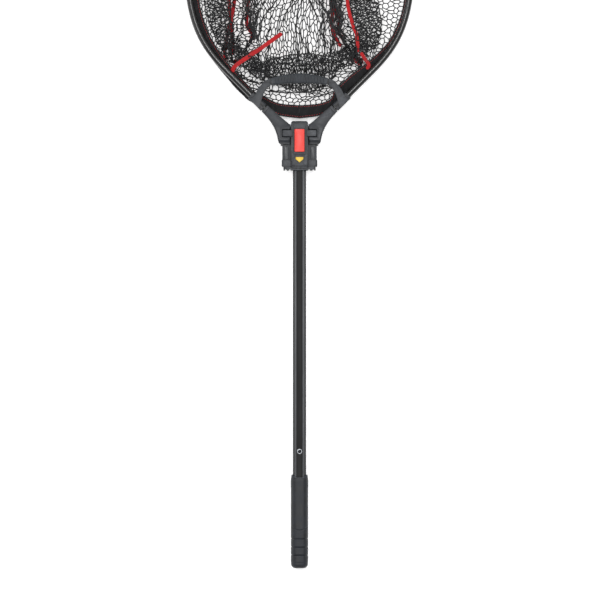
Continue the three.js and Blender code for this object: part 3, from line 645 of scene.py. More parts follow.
@dataclass
class Handle:
    """The outer tube with its rubber grip, end cap, eyelet and snap button."""

    tube_edge: float = 0.3 * MM
    grip_top: float = -615.2 * MM
    grip_end: float = -783.5 * MM
    collar_dip: float = 4.4 * MM
    collar_end: float = -637 * MM
    arc_at: float = -714.5 * MM
    arc_rise: float = 4.5 * MM
    rings: tuple[float, ...] = (-730 * MM, -745 * MM, -759.4 * MM)
    step_at: float = -772 * MM
    corner: float = 8 * MM
    half: float = 16 * MM
    corner_cut: float = 25.4 * MM
    side_recess: float = 0.3 * MM
    ring_depth: float = 1.3 * MM
    ring_width: float = 1.9 * MM
    around: int = 96
    station: float = 0.45 * MM

    def build(self, finish: Finishes) -> None:
        """Builds the handle.

        Args:
            finish: The net's finishes.
        """
        mount(softened_copy("outer_tube", finish.tube, self.tube_edge), Body.HANDLE)
        mount(softened_copy("button_eyelet", finish.steel, self.tube_edge), Body.HANDLE)
        self.grip(finish)
        dress("tube_bush", finish.black)
        dress("snap_button", finish.dark_steel)

    def outline(self, angle: np.ndarray) -> np.ndarray:
        """Gives the grip's radius at angles round it: a square with its corners cut and softened."""
        wide, tall = np.abs(np.cos(angle)), np.abs(np.sin(angle))
        sides = [wide / self.half, tall / self.half, (wide + tall) / self.corner_cut]
        softness = 12
        return np.sum(np.power(sides, softness), axis=0) ** (-1 / softness)

    def profile(self, y: np.ndarray, angle: np.ndarray) -> np.ndarray:
        """Gives how far the grip's skin lies below its full section.

        Args:
            y: Places along the handle.
            angle: Angles round it, 0 at +x and a quarter turn at the top.

        Returns:
            The depth at each place and angle.
        """
        side = np.abs(np.cos(angle))
        face = np.abs(np.sin(angle))
        depth = np.zeros(np.broadcast(y, angle).shape)
        for ring in self.rings:
            depth += self.ring_depth * np.exp(-(((y - ring) / (self.ring_width / 2)) ** 2))
        recess = smoothstep(self.collar_end + 1.2 * MM, self.collar_end - 1.2 * MM, y)
        recess = recess * smoothstep(self.step_at - 0.8 * MM, self.step_at + 0.8 * MM, y)
        depth += recess * self.side_recess * smoothstep(0.55, 0.95, side)
        arc = self.arc_at + self.arc_rise * (side / 0.7) ** 2
        depth += 0.8 * MM * smoothstep(0.5, 0.7, face) * np.exp(-(((y - arc) / (0.9 * MM)) ** 2))
        taper = smoothstep(self.grip_top - 12 * MM, self.grip_top, y)
        depth += taper * 1.2 * MM
        into_cap = np.clip((self.grip_end + self.corner - y) / self.corner, 0, 1)
        depth += (self.corner + 1 * MM) * (1 - np.sqrt(1 - 0.98 * into_cap**2))
        depth += 0.7 * MM * smoothstep(self.step_at + 0.3 * MM, self.step_at - 0.3 * MM, y)
        return depth

    def grip(self, finish: Finishes) -> None:
        """Builds the grip with its end as one moulded skin over the tube."""
        angle = 2 * math.pi * np.arange(self.around) / self.around
        stations = int((self.grip_top - self.grip_end) / self.station)
        along = np.linspace(0, 1, stations)
        face = np.abs(np.sin(angle))
        dip = self.collar_dip * smoothstep(0.45, 1.0, face)
        lip = [self.ring_points(np.full(self.around, self.grip_top) - dip, angle, 2.9 * MM)]
        for step in along:
            y = self.grip_top - dip * (1 - step) ** 3 + (self.grip_end - self.grip_top) * step
            lip.append(self.ring_points(y, angle, 0))
        inner = np.copy(lip[-1])
        inner[:, [0, 2]] = (inner[:, [0, 2]] - [0, TUBE_AXIS_Z]) * 0.35 + [0, TUBE_AXIS_Z]
        rows = [*lip, inner]
        verts = np.vstack(rows)
        faces = grid_faces(len(rows), self.around, False, True)
        start = (len(rows) - 1) * self.around
        faces.append(tuple(range(start, start + self.around)))
        bore = self.ring_points(np.full(self.around, self.grip_top) - dip - 3 * MM, angle, 3.3 * MM)
        verts = np.vstack([verts, bore])
        last = len(verts) - self.around
        for i in range(self.around):
            after = (i + 1) % self.around
            faces.append((i, last + i, last + after, after))
        faces.append(tuple(range(last, last + self.around))[::-1])
        piece = new_piece("grip_skin", verts, faces, finish.grip)
        smooth_by_angle(piece, 50)
        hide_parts("grip", "end_cap")
        mount(piece, Body.HANDLE)

    def ring_points(self, y: np.ndarray, angle: np.ndarray, below: float) -> np.ndarray:
        """Gives one ring of the grip's points, `below` its skin."""
        radius = self.outline(angle) - self.profile(y, angle) - below
        return np.stack([radius * np.cos(angle), y, TUBE_AXIS_Z + radius * np.sin(angle)], axis=1)


def smoothstep(start: float, end: float, value: np.ndarray) -> np.ndarray:
    """Rises smoothly from 0 at start to 1 at end."""
    t = np.clip((np.asarray(value) - start) / (end - start), 0, 1)
    return t * t * (3 - 2 * t)


# ---------------------------------------------------------------- hoop


@dataclass
class HoopPath:
    """The hoop tube's centre line, seen from above."""

    arm_end: tuple[float, float] = (63 * MM, 45 * MM)
    into_socket: float = 14 * MM
    bend: tuple[float, float] = (130 * MM, 112 * MM)
    bend_reach: float = 75 * MM
    side: tuple[float, float] = (203 * MM, 330 * MM)
    side_reach: float = 120 * MM
    far: tuple[float, float] = (32 * MM, 520 * MM)
    far_reach: float = 98 * MM
    gap: float = 0.3 * MM

    @property
    def leg(self) -> np.ndarray:
        """The direction of the straight leg that leaves an arm."""
        return np.array([1.0, 1.0]) / math.sqrt(2)

    def curve(self, start: Any, out: Any, back: Any, end: Any, count: int) -> np.ndarray:
        """Draws a Bezier curve from start to end by way of out and back."""
        t = np.linspace(0, 1, count)[:, None]
        start, out, back, end = map(np.asarray, (start, out, back, end))
        return (1 - t) ** 3 * start + 3 * (1 - t) ** 2 * t * out + 3 * (1 - t) * t**2 * back + t**3 * end

    def half(self, count: int = 150) -> np.ndarray:
        """Gives the right half's centre line, from its socket to the far end."""
        bend, side, far = map(np.array, (self.bend, self.side, self.far))
        start = np.array(self.arm_end) - self.leg * self.into_socket
        rise = np.array([0, self.side_reach])
        parts = [np.linspace(start, bend, 14)[:-1],
                 self.curve(bend, bend + self.leg * self.bend_reach, side - rise, side, 60)[:-1],
                 self.curve(side, side + rise, far + [self.far_reach, 0], far, 60),
                 np.array([[self.gap, far[1]]])]
        return resample(np.vstack(parts), count)

    def offset(self, distance: Any, count: int = 150) -> np.ndarray:
        """Gives the right half moved outwards by a distance, or by one distance to each point."""
        path = self.half(count)
        direction = tangents(path)
        outward = np.stack([direction[:, 1], -direction[:, 0]], axis=1)
        return path + outward * np.asarray(distance).reshape(-1, 1)


@dataclass
class Hoop:
    """The bent hoop tube, its arms, sockets, clips, ferrule and the carry handle."""

    path: HoopPath
    radius: float = 6 * MM
    around: int = 28
    edge: float = 0.5 * MM
    fine_edge: float = 0.25 * MM

    def build(self, finish: Finishes) -> None:
        """Builds the hoop and the mouldings at its throat.

        Args:
            finish: The net's finishes.
        """
        for side in Side:
            name = side.name.lower()
            self.tube(side, finish)
            mount(softened_copy(f"arm_{name}", finish.casing, self.edge), Body.HEAD)
            mount(softened_copy(f"socket_{name}", finish.casing, self.edge), Body.HEAD)
            clip = softened_copy(f"socket_clip_{name}", finish.black, self.fine_edge)
            mount(clip, Body.HEAD)
            dress(f"socket_screw_{name}", finish.steel)
            dress(f"hinge_bush_{name}", finish.brass)
        mount(softened_copy("carry_handle", finish.casing, self.edge), Body.HEAD)
        mount(softened_copy("hoop_ferrule", finish.black, self.edge), Body.HEAD)
        dress("strike_pin", finish.steel)

    def tube(self, side: Side, finish: Finishes) -> None:
        """Sweeps one half of the hoop tube."""
        half = self.path.half() * [side.value, 1]
        path = np.column_stack([half, np.full(len(half), HOOP_Z)])
        section = oval(2 * self.radius, 2 * self.radius, self.around)[::-1]
        verts, faces = sweep(path, section)
        piece = new_piece(f"hoop_half_{side.name.lower()}", verts, faces, finish.hoop)
        smooth_by_angle(piece, 60)
        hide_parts(f"hoop_tube_{side.name.lower()}")
        mount(piece, Body.HEAD)


@dataclass
class SleeveGrip:
    """The ribbed soft grip over the middle of the carry handle."""

    half_width: float = 52 * MM
    top_ends: float = 99.2 * MM
    top_control: float = 116.8 * MM
    under_half: float = 47.9 * MM
    under_ends: float = 87.1 * MM
    under_control: float = 92.9 * MM
    low: float = 23.5 * MM
    high: float = 37.5 * MM
    rib_pitch: float = 2.7 * MM
    rib_depth: float = 0.8 * MM
    plain_end: float = 5 * MM
    stations: int = 240
    around: int = 40

    def arch(self, t: np.ndarray, half: float, ends: float, control: float) -> np.ndarray:
        """Gives points of an arch between -half and +half."""
        x = (2 * t - 1) * half
        y = (1 - t) ** 2 * ends + 2 * t * (1 - t) * control + t**2 * ends
        return np.stack([x, y], axis=1)

    def build(self, finish: Finishes) -> None:
        """Builds the grip.

        Args:
            finish: The net's finishes.
        """
        t = np.linspace(0, 1, self.stations)
        top = self.arch(t, self.half_width, self.top_ends, self.top_control)
        under = self.arch(t, self.under_half, self.under_ends, self.under_control)
        middle = (top + under) / 2
        wide = np.linalg.norm(top - under, axis=1)
        x = middle[:, 0]
        run = smoothstep(self.half_width - self.plain_end + 1 * MM, self.half_width - self.plain_end - 3 * MM,
                         np.abs(x))
        groove = np.abs(np.sin(math.pi * x / self.rib_pitch)) ** 0.6
        inset = run * self.rib_depth * (1 - groove)
        base = oval(1, 1, self.around, 0.45)[::-1]
        sections = np.stack([base * [w - 2 * d, self.high - self.low - 2 * d] for w, d in zip(wide, inset)])
        path = np.column_stack([middle, np.full(len(middle), (self.low + self.high) / 2)])
        verts, faces = sweep(path, sections)
        piece = new_piece("ribbed_sleeve", verts, faces, finish.sleeve)
        smooth_by_angle(piece, 50)
        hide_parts("handle_sleeve")
        mount(piece, Body.HEAD)


# ---------------------------------------------------------------- rim band


@dataclass
class RimBand:
    """The folded cloth band that runs inside the hoop and crosses between the arms."""

    path: HoopPath
    crossing_outer: tuple = ((0, 27.7 * MM), (35 * MM, 32.5 * MM), (60 * MM, 44 * MM))
    crossing_inner: tuple = ((0, 51.8 * MM), (35 * MM, 55 * MM), (57 * MM, 64 * MM))
    joins_at: float = 72 * MM
    stations: int = 760
    across: int = 15
    fullness: float = 7.5 * MM
    stitch_sink: float = 1.2 * MM
    pucker_height: float = 0.7 * MM
    crease_height: float = 1.7 * MM
    seam_sink: float = 2.0 * MM
    stitch_in: float = 3.2 * MM
    stitch: float = 3.1 * MM
    stitch_gap: float = 1.5 * MM
    thread: float = 0.85 * MM
    crossing_edge_z: float = 12 * MM
    hoop_outer_z: float = 15.5 * MM
    hoop_inner_z: float = 18.5 * MM

    def widths(self, side: Side, distance: np.ndarray) -> tuple[np.ndarray, np.ndarray]:
        """Gives how far the band reaches inside and outside the tube's centre line.

        Args:
            side: Which half of the hoop.
            distance: Distance along the hoop from its socket, in metres.

        Returns:
            The inward and the outward reach, both positive.
        """
        stops = np.array([0, 30, 75, 120, 170, 230, 330, 600]) * MM
        if side is Side.RIGHT:
            inward = np.array([22, 24, 23, 17, 11, 9, 9, 13]) * MM
            outward = np.array([4, 4, 4, 4, 4, 4, 4, 4]) * MM
        else:
            inward = np.array([9, 9, 9.5, 12, 15, 16.5, 16, 14]) * MM
            outward = np.array([5, 9, 11, 7, 4, 4, 4, 4]) * MM
        return np.interp(distance, stops, inward), np.interp(distance, stops, outward)

    def edge(self, side: Side, outer: bool) -> np.ndarray:
        """Gives one edge of a half of the band, from the crossing's middle to the far end."""
        distance = lengths(self.path.half())
        inward, outward = self.widths(side, distance)
        along = self.path.offset(outward if outer else -inward)
        crossing = self.crossing_outer if outer else self.crossing_inner
        start = self.joins_at * (0.82 if outer else 1.06)
        along = along[along[:, 1] > start]
        along[-1, 0] = 0
        return smooth_path([*crossing, *along[::3], along[-1]], self.stations // 2 + 1)

    def ring(self, outer: bool) -> np.ndarray:
        """Gives one whole edge of the band, anticlockwise from the crossing's middle."""
        right = self.edge(Side.RIGHT, outer)
        left = self.edge(Side.LEFT, outer)[::-1] * [-1, 1]
        return np.vstack([right, left[1:-1]])

    def surface(self) -> tuple[np.ndarray, np.ndarray, np.ndarray]:
        """Gives the band's top and bottom grids and its UVs, row by row."""
        outer, inner = self.ring(True), self.ring(False)
        ring_length = lengths(np.vstack([inner, inner[:1]]))[:-1]
        on_crossing = smoothstep(74 * MM, 52 * MM, np.maximum(np.abs(inner[:, 0]), inner[:, 1] * 0.9))
        share = np.linspace(0, 1, self.across)
        plan = outer[:, None] * (1 - share[:, None]) + inner[:, None] * share[:, None]
        wide = np.linalg.norm(outer - inner, axis=1)
        low = self.hoop_outer_z + (self.crossing_edge_z - self.hoop_outer_z) * on_crossing
        high = self.hoop_inner_z + (self.crossing_edge_z + 1 * MM - self.hoop_inner_z) * on_crossing
        middle = low[:, None] + (high - low)[:, None] * share
        crown = (1 - np.abs(2 * share - 1) ** 5) ** 0.5
        thick = self.fullness * (0.45 + 0.55 * on_crossing)[:, None] * np.maximum(crown, 0.12)
        from_edge = np.minimum(share, 1 - share) * wide[:, None]
        sewn = np.exp(-(((from_edge - self.stitch_in) / (0.8 * MM)) ** 2))
        s = ring_length[:, None]
        by_stitches = np.exp(-(((from_edge - self.stitch_in) / (3 * MM)) ** 2))
        pucker = np.sin(s * 610 + 3 * np.sin(s * 95)) * by_stitches
        crease = np.sin(s * 170 + share * 4) * np.sin(s * 61 + share * 2.1)
        crease = crease + 0.6 * np.sin(s * 333 - share * 7)
        seam = np.exp(-((plan[..., 0] / (1.1 * MM)) ** 2)) * (plan[..., 1] < 0.1)
        relief = -self.stitch_sink * sewn + self.pucker_height * pucker
        relief = relief + self.crease_height * crease * crown - self.seam_sink * seam
        top = middle + thick / 2 + relief * (crown > 0.2)
        bottom = middle - thick / 2 - 0.4 * relief * (crown > 0.2)
        uvs = np.stack([np.broadcast_to(s, plan.shape[:2]), share * wide[:, None]], axis=2)
        return np.dstack([plan, top]), np.dstack([plan, bottom]), uvs

    def build(self, finish: Finishes, bag: Sequence[bpy.types.Object]) -> None:
        """Args:
            finish: The net's finishes.
            bag: The pieces of the bag and its tapes; not used.
        """
        top, bottom, uvs = self.surface()
        rows = len(top)
        verts = np.concatenate([top, bottom[:, -2:0:-1]], axis=1)
        columns = verts.shape[1]
        all_uvs = np.concatenate([uvs, uvs[:, -2:0:-1]], axis=1)
        piece = new_piece("band_sleeve", verts.reshape(-1, 3), grid_faces(rows, columns, True, True),
                          finish.fabric, all_uvs.reshape(-1, 2))
        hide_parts("rim_band")
        mount(piece, Body.HEAD)
        stitches = self.stitches(top, finish)

    def stitches(self, top: np.ndarray, finish: Finishes) -> bpy.types.Object:
        """Sews a line of dashes along the band's inner edge, and along both edges of its crossing.

        Args:
            top: The grid of the band's top.
            finish: The net's finishes.

        Returns:
            The stitches, as one piece.
        """
        wide = np.linalg.norm(top[:, 0] - top[:, -1], axis=1)
        lines = []
        for from_outer in (False, True):
            share = self.stitch_in / wide
            share = share if from_outer else 1 - share
            column = share * (self.across - 1)
            low = np.floor(column).astype(int)
            part = (column - low)[:, None]
            rows = np.arange(len(top))
            line = top[rows, low] * (1 - part) + top[rows, low + 1] * part
            if from_outer:
                half = np.argmax(line[:, 1] > 44 * MM)
                line = np.vstack([line[-half:], line[:half]])
            else:
                line = np.vstack([line, line[:1]])
            lines.append(line)
        verts, faces, uvs = [], [], []
        for line in lines:
            distance = lengths(line)
            count = int(distance[-1] / (self.stitch + self.stitch_gap))
            for i in range(count):
                start = i * (self.stitch + self.stitch_gap)
                at = start + np.linspace(0, self.stitch, 5)
                dash = np.stack([np.interp(at, distance, line[:, axis]) for axis in range(3)], axis=1)
                dash[:, 2] += self.thread * np.array([-0.3, 0.35, 0.55, 0.35, -0.3])
                taper = np.array([0.5, 0.95, 1, 0.95, 0.5])[:, None, None]
                points, sides = sweep(dash, oval(self.thread, self.thread, 6)[::-1] * taper)
                faces += [tuple(v + len(verts) for v in side) for side in sides]
                verts += list(points)
                uvs += [(a, 0.0) for a in at for _ in range(6)]
        piece = new_piece("band_stitches", verts, faces, finish.thread, uvs)
        return mount(piece, Body.HEAD)


# ---------------------------------------------------------------- mesh bag


@dataclass
class BagCloth:
    """The bag's cloth: a wall of rings below the rim, and a base of shrinking rings.

    The cloth hangs from the rim, then is let down on the floor while its binding tapes are drawn
    to where they lie. It is kept as a grid of ring points, from the rim to the base's centre.
    """

    rim: np.ndarray
    centre: tuple[float, float] = (0, 290 * MM)
    around: int = 116
    wall_rings: int = 27
    fold_ring: int = 10
    base_rings: int = 11
    depth: float = 275 * MM
    base_share: float = 1.0
    rim_z: float = 15.5 * MM
    cord_radius: float = 0.75 * MM
    settle_frames: int = 45
    rest_frames: int = 22
    tall: float = 32 * MM
    left_fold: tuple = ((-96, 112), (-121.5, 130), (-120, 143.6), (-121.5, 171.7), (-122.8, 198.7),
                        (-126.9, 240), (-130, 320), (-118, 410))
    right_fold: tuple = ((118, 116), (108, 136), (104.9, 157.5), (102.8, 178.2), (95.9, 196), (86.2, 240),
                         (86, 320), (96, 410))
    left_seam: tuple = ((-107.6, 146.5), (-89.8, 165.8), (-85.5, 180), (-95.2, 198.7), (-92.7, 240),
                        (-90, 320), (-84, 400))
    right_seam: tuple = ((91.8, 151.9), (79.4, 169.9), (71.1, 185), (71.1, 209.9), (62.8, 240), (62, 320),
                         (70, 400))
    points: np.ndarray | None = None

    def angles(self) -> np.ndarray:
        """Gives each column's angle about the centre, anticlockwise from the handle's side."""
        return -math.pi / 2 + 2 * math.pi * np.arange(self.around) / self.around

    def rim_radius(self) -> np.ndarray:
        """Gives the rim's distance from the centre on each column."""
        offset = self.rim - self.centre
        angle = np.unwrap(np.arctan2(offset[:, 1], offset[:, 0]))
        order = np.argsort(angle)
        angle, radius = angle[order], np.hypot(*offset.T)[order]
        angle = np.concatenate([angle - 2 * math.pi, angle, angle + 2 * math.pi])
        return np.interp(self.angles(), angle, np.tile(radius, 3))

    def hanging(self) -> np.ndarray:
        """Gives the grid as it hangs, before it is let down."""
        angle, radius = self.angles(), self.rim_radius()
        clear = 12 * MM
        rings = []
        for ring in range(self.wall_rings + self.base_rings):
            wall = min(ring / self.wall_rings, 1)
            inward = max(ring - self.wall_rings, 0) / self.base_rings
            share = (1 - (1 - self.base_share) * wall) * (1 - inward)
            ripple = 6 * MM * np.sin(5 * angle + 1.3 * ring) + 4 * MM * np.sin(11 * angle + 0.7 * ring)
            reach = radius * share + ripple * (wall if inward == 0 else 0)
            z = np.full(self.around, clear + self.depth * (1 - wall))
            rings.append(np.stack([self.centre[0] + reach * np.cos(angle),
                                   self.centre[1] + reach * np.sin(angle), z], axis=1))
        rings.append(np.tile([*self.centre, clear], (self.around, 1)))
        return np.stack(rings)

    def lines(self) -> list[tuple[int, tuple, Side, float, tuple[float, float]]]:
        """Gives each tape's ring, path, side, height and the stretch of y that it holds."""
        return [(self.fold_ring, self.left_fold, Side.LEFT, 21 * MM, (95 * MM, 440 * MM)),
                (self.fold_ring, self.right_fold, Side.RIGHT, 24 * MM, (95 * MM, 440 * MM)),
                (self.wall_rings, self.left_seam, Side.LEFT, 7 * MM, (120 * MM, 420 * MM)),
                (self.wall_rings, self.right_seam, Side.RIGHT, 9 * MM, (120 * MM, 420 * MM))]

    def laid(self, hanging: np.ndarray) -> tuple[np.ndarray, np.ndarray]:
        """Gives where the held points end up, and which points are held."""
        target, held = hanging.copy(), np.zeros(hanging.shape[:2], dtype=bool)
        target[0, :, 2], held[0] = self.rim_z, True
        for ring, line, side, z, (near, far) in self.lines():
            row = hanging[ring]
            columns = [i for i in range(self.around)
                       if row[i, 0] * side.value > 0 and near <= row[i, 1] <= far]
            columns.sort(key=lambda i: row[i, 1])
            path = smooth_path(np.array(line) * MM, 200)
            share = (row[columns, 1] - near) / (far - near)
            target[ring, columns, :2] = path[np.round(share * (len(path) - 1)).astype(int)]
            target[ring, columns, 2] = z
            held[ring, columns] = True
        return target, held

    def drop(self) -> None:
        hanging = self.hanging()
        target, held = self.laid(hanging)
        grid = self.simulate(hanging, target, held)
        self.points = self.kept_clear(grid)

    def simulate(self, hanging: np.ndarray, target: np.ndarray, held: np.ndarray) -> np.ndarray:
        """Runs the cloth simulation.

        Args:
            hanging: The grid at the start.
            target: Where the held points end.
            held: Which points are held.

        Returns:
            The grid at the end.
        """
        rings = len(hanging) - 1
        verts = np.vstack([hanging[:-1].reshape(-1, 3), hanging[-1, :1]])
        ends = np.vstack([target[:-1].reshape(-1, 3), target[-1, :1]])
        faces = [face[::-1] for face in grid_faces(rings, self.around, False, True)]
        last = (rings - 1) * self.around
        faces += [(last + i, last + (i + 1) % self.around, len(verts) - 1) for i in range(self.around)]
        cloth = new_piece("bag_cloth", verts, faces, bpy.data.materials[0])
        group = cloth.vertex_groups.new(name="held")
        group.add([int(i) for i in np.flatnonzero(held[:-1].ravel())], 1.0, "REPLACE")
        cloth.shape_key_add(name="hanging")
        key = cloth.shape_key_add(name="laid")
        key.data.foreach_set("co", ends.astype(np.float32).ravel())
        for frame_number, value in ((1, 0.0), (self.settle_frames, 1.0)):
            key.value = value
            key.keyframe_insert("value", frame=frame_number)
        floor = new_piece("cloth_floor", [(-1, -1, 0), (1, -1, 0), (1, 1, 0), (-1, 1, 0)], [(0, 1, 2, 3)],
                          bpy.data.materials[0])
        floor.modifiers.new("stops cloth", "COLLISION")
        floor.collision.thickness_outer = 2 * MM
        floor.collision.cloth_friction = 20
        modifier = cloth.modifiers.new("cloth", "CLOTH")
        self.tune(modifier)
        scene = bpy.context.scene
        end = self.settle_frames + self.rest_frames
        modifier.point_cache.frame_start, modifier.point_cache.frame_end = 1, end
        for number in range(1, end + 1):
            scene.frame_set(number)
        shaped = cloth.evaluated_get(bpy.context.evaluated_depsgraph_get()).data
        flat = np.empty(len(shaped.vertices) * 3, dtype=np.float32)
        shaped.vertices.foreach_get("co", flat)
        found = flat.reshape(-1, 3).astype(float)
        for extra in (cloth, floor):
            extra.animation_data_clear()
            data = extra.data
            bpy.data.objects.remove(extra)
            bpy.data.meshes.remove(data)
        scene.frame_set(1)
        grid = found[:-1].reshape(rings, self.around, 3)
        return np.concatenate([grid, np.tile(found[-1], (1, self.around, 1))])

    def tune(self, modifier: bpy.types.ClothModifier) -> None:
        """Sets how the rubber-coated netting behaves."""
        cloth, touch = modifier.settings, modifier.collision_settings
        cloth.quality = 5
        cloth.mass = 0.15
        cloth.tension_stiffness, cloth.compression_stiffness = 20, 20
        cloth.shear_stiffness, cloth.bending_stiffness = 3, 0.05
        cloth.tension_damping = cloth.compression_damping = cloth.shear_damping = 5
        cloth.bending_damping, cloth.air_damping = 0.5, 2
        cloth.vertex_group_mass = "held"
        touch.distance_min = 3 * MM
        touch.use_self_collision = True
        touch.self_distance_min = 4 * MM
        touch.collision_quality = 3

    def kept_clear(self, grid: np.ndarray) -> np.ndarray:
        """Presses the settled cloth under its neighbours and above the floor."""
        grid = grid.copy()
        offset = grid[..., :2] - self.centre
        reach = np.linalg.norm(offset, axis=2)
        angle = np.arctan2(offset[..., 1], offset[..., 0])
        turn = np.concatenate([self.angles(), self.angles()[:1] + 2 * math.pi])
        radius = self.rim_radius()
        limit = np.interp((angle - turn[0]) % (2 * math.pi) + turn[0], turn, np.append(radius, radius[0]))
        over = np.maximum(reach - limit, 0)
        allowed = limit + 9 * MM * np.tanh(over / (9 * MM))
        scale = np.where(over > 0, allowed / np.maximum(reach, 1 * MM), 1)
        grid[..., :2] = self.centre + offset * scale[..., None]
        near_handle = smoothstep(126 * MM, 112 * MM, grid[..., 1])
        by_handle = near_handle * smoothstep(104 * MM, 92 * MM, np.abs(grid[..., 0]))
        top = self.tall + (19 * MM - self.tall) * by_handle
        near_rim = smoothstep(-14 * MM, 0, reach - limit)
        top = top + (9 * MM - top) * near_rim
        knee = 0.45 * top
        high = np.maximum(grid[..., 2] - knee, 0)
        z = np.minimum(grid[..., 2], knee) + (top - knee) * (1 - np.exp(-high / (top - knee)))
        rim_z = grid[0, :, 2].copy()
        grid[..., 2] = np.maximum(z, self.cord_radius * 1.5)
        grid[0, :, 2] = rim_z
        return grid

    def at(self, column: np.ndarray, ring: np.ndarray) -> np.ndarray:
        """Gives the cloth's points at fractional columns and rings."""
        column = np.asarray(column) % self.around
        left = np.floor(column).astype(int) % self.around
        right = (left + 1) % self.around
        upper = np.clip(np.floor(ring).astype(int), 0, len(self.points) - 2)
        a = (column - np.floor(column))[:, None]
        b = (np.asarray(ring) - upper)[:, None]
        first = self.points[upper, left] * (1 - a) + self.points[upper, right] * a
        second = self.points[upper + 1, left] * (1 - a) + self.points[upper + 1, right] * a
        return first * (1 - b) + second * b


@dataclass
class MeshBag:
    """The bag's rubber-coated hexagonal netting, knitted over its cloth."""

    cloth: BagCloth
    cells_around: int = 150
    row_pitch: float = 9.8 * MM
    knot: float = 1.15 * MM
    cord: float = 0.85 * MM
    base_wide: float = 5.6 * MM
    base_tall: float = 8.6 * MM
    unevenness: float = 0.14
    sides: int = 6

    def wall(self) -> tuple[np.ndarray, np.ndarray]:
        """Gives the wall's cords, as pairs of (column, ring)."""
        rows = round(self.cloth.depth / self.row_pitch)
        ring_step = self.cloth.wall_rings / rows
        column_step = self.cloth.around / self.cells_around
        row, cell = (part.ravel() for part in np.meshgrid(np.arange(rows), np.arange(self.cells_around)))
        column = (cell + 0.5 * (row % 2)) * column_step
        top = np.stack([column, row * ring_step], axis=1)
        fork = top + [0, 0.64 * ring_step]
        starts, ends = [top], [fork]
        for way in (-0.5, 0.5):
            starts.append(fork)
            ends.append(top + [way * column_step, ring_step])
        return np.vstack(starts), np.vstack(ends)

    def base(self) -> tuple[np.ndarray, np.ndarray]:
        """Gives the base's cords, as pairs of (column, ring)."""
        hanging = self.cloth.hanging()[self.cloth.wall_rings]
        offset = hanging[:, :2] - self.cloth.centre
        angle, reach = self.cloth.angles(), np.hypot(*offset.T)
        turn = np.append(angle, angle[0] + 2 * math.pi)
        radius = np.append(reach, reach[0])
        wide, tall = self.base_wide, self.base_tall
        count = int(250 * MM / tall)
        i, j = (part.ravel() for part in np.meshgrid(np.arange(-count, count), np.arange(-count, count)))
        middle = np.stack([(i + 0.5 * (j % 2)) * wide, j * 1.5 * tall], axis=1)
        upper, lower = middle + [0, tall / 2], middle - [0, tall / 2]
        starts = np.vstack([upper, upper, upper])
        ends = np.vstack([lower, middle + [wide / 2, tall], middle + [-wide / 2, tall]])

        def to_grid(place: np.ndarray) -> tuple[np.ndarray, np.ndarray]:
            """Turns a flat place into a column and ring, and says which lie on the base."""
            at = (np.arctan2(place[:, 1], place[:, 0]) - angle[0]) % (2 * math.pi)
            share = np.hypot(*place.T) / np.interp(at + angle[0], turn, radius)
            column = at / (2 * math.pi) * self.cloth.around
            ring = self.cloth.wall_rings + (1 - np.minimum(share, 1)) * self.cloth.base_rings
            return np.stack([column, ring], axis=1), share

        first, share_a = to_grid(starts)
        second, share_b = to_grid(ends)
        inside = (share_a < 1) | (share_b < 1)
        return first[inside], second[inside]

    def uneven(self, place: np.ndarray) -> np.ndarray:
        """Shifts knots a little, as no two cells lie alike. The rim's own row stays on the band.

        Args:
            place: Knots, as (column, ring).

        Returns:
            The shifted knots. A knot that several cords share moves the same way in each.
        """
        turn = 2 * math.pi * place[:, 0] / self.cloth.around
        ring = place[:, 1]
        sideways = np.sin(34 * turn + 2.3 * ring) + np.sin(53 * turn - 1.7 * ring)
        down = np.sin(47 * turn + 1.9 * ring) + np.sin(29 * turn - 2.9 * ring)
        free = self.unevenness * np.clip(ring / 2, 0, 1)
        last = self.cloth.wall_rings + self.cloth.base_rings
        return np.stack([place[:, 0] + free * sideways, np.clip(ring + free * down, 0, last)], axis=1)

    def cords(self, name: str, first: np.ndarray, second: np.ndarray, finish: Finishes) -> bpy.types.Object:
        """Makes cords that bend with the cloth, thicker at their knots.

        Args:
            name: The piece's name.
            first: Each cord's start, as (column, ring).
            second: Each cord's end.
            finish: The net's finishes.

        Returns:
            The piece.
        """
        first, second = self.uneven(first), self.uneven(second)
        start, end = self.cloth.at(*first.T), self.cloth.at(*second.T)
        whole = self.cloth.around
        gap = (second[:, 0] - first[:, 0] + whole / 2) % whole - whole / 2
        middle = self.cloth.at(first[:, 0] + gap / 2, (first[:, 1] + second[:, 1]) / 2)
        middle = 0.5 * middle + 0.25 * (start + end)
        direction = end - start
        size = np.linalg.norm(direction, axis=1)
        kept = size > 0.4 * MM
        start, middle, end, direction = (part[kept] for part in (start, middle, end, direction))
        direction /= size[kept][:, None]
        helper = np.where(np.abs(direction[:, 2:]) > 0.8, [[1.0, 0, 0]], [[0, 0, 1.0]])
        across = np.cross(direction, helper)
        across /= np.linalg.norm(across, axis=1)[:, None]
        lift = np.cross(across, direction)
        rings = []
        for place, radius in ((start, self.knot), (0.5 * (start + middle), self.cord), (middle, self.cord),
                              (0.5 * (middle + end), self.cord), (end, self.knot)):
            for side in range(self.sides):
                turn = 2 * math.pi * side / self.sides
                rings.append(place + radius * (math.cos(turn) * across + math.sin(turn) * lift))
        stations = len(rings) // self.sides
        verts = np.stack(rings, axis=1)
        verts[..., 2] = np.maximum(verts[..., 2], 0.1 * MM)
        pattern = np.array(grid_faces(stations, self.sides, False, True))
        base = (np.arange(len(start)) * stations * self.sides)[:, None, None]
        faces = (pattern[None] + base).reshape(-1, 4)
        piece = new_piece(name, verts.reshape(-1, 3), faces, finish.mesh)
        return mount(piece, Body.HEAD)

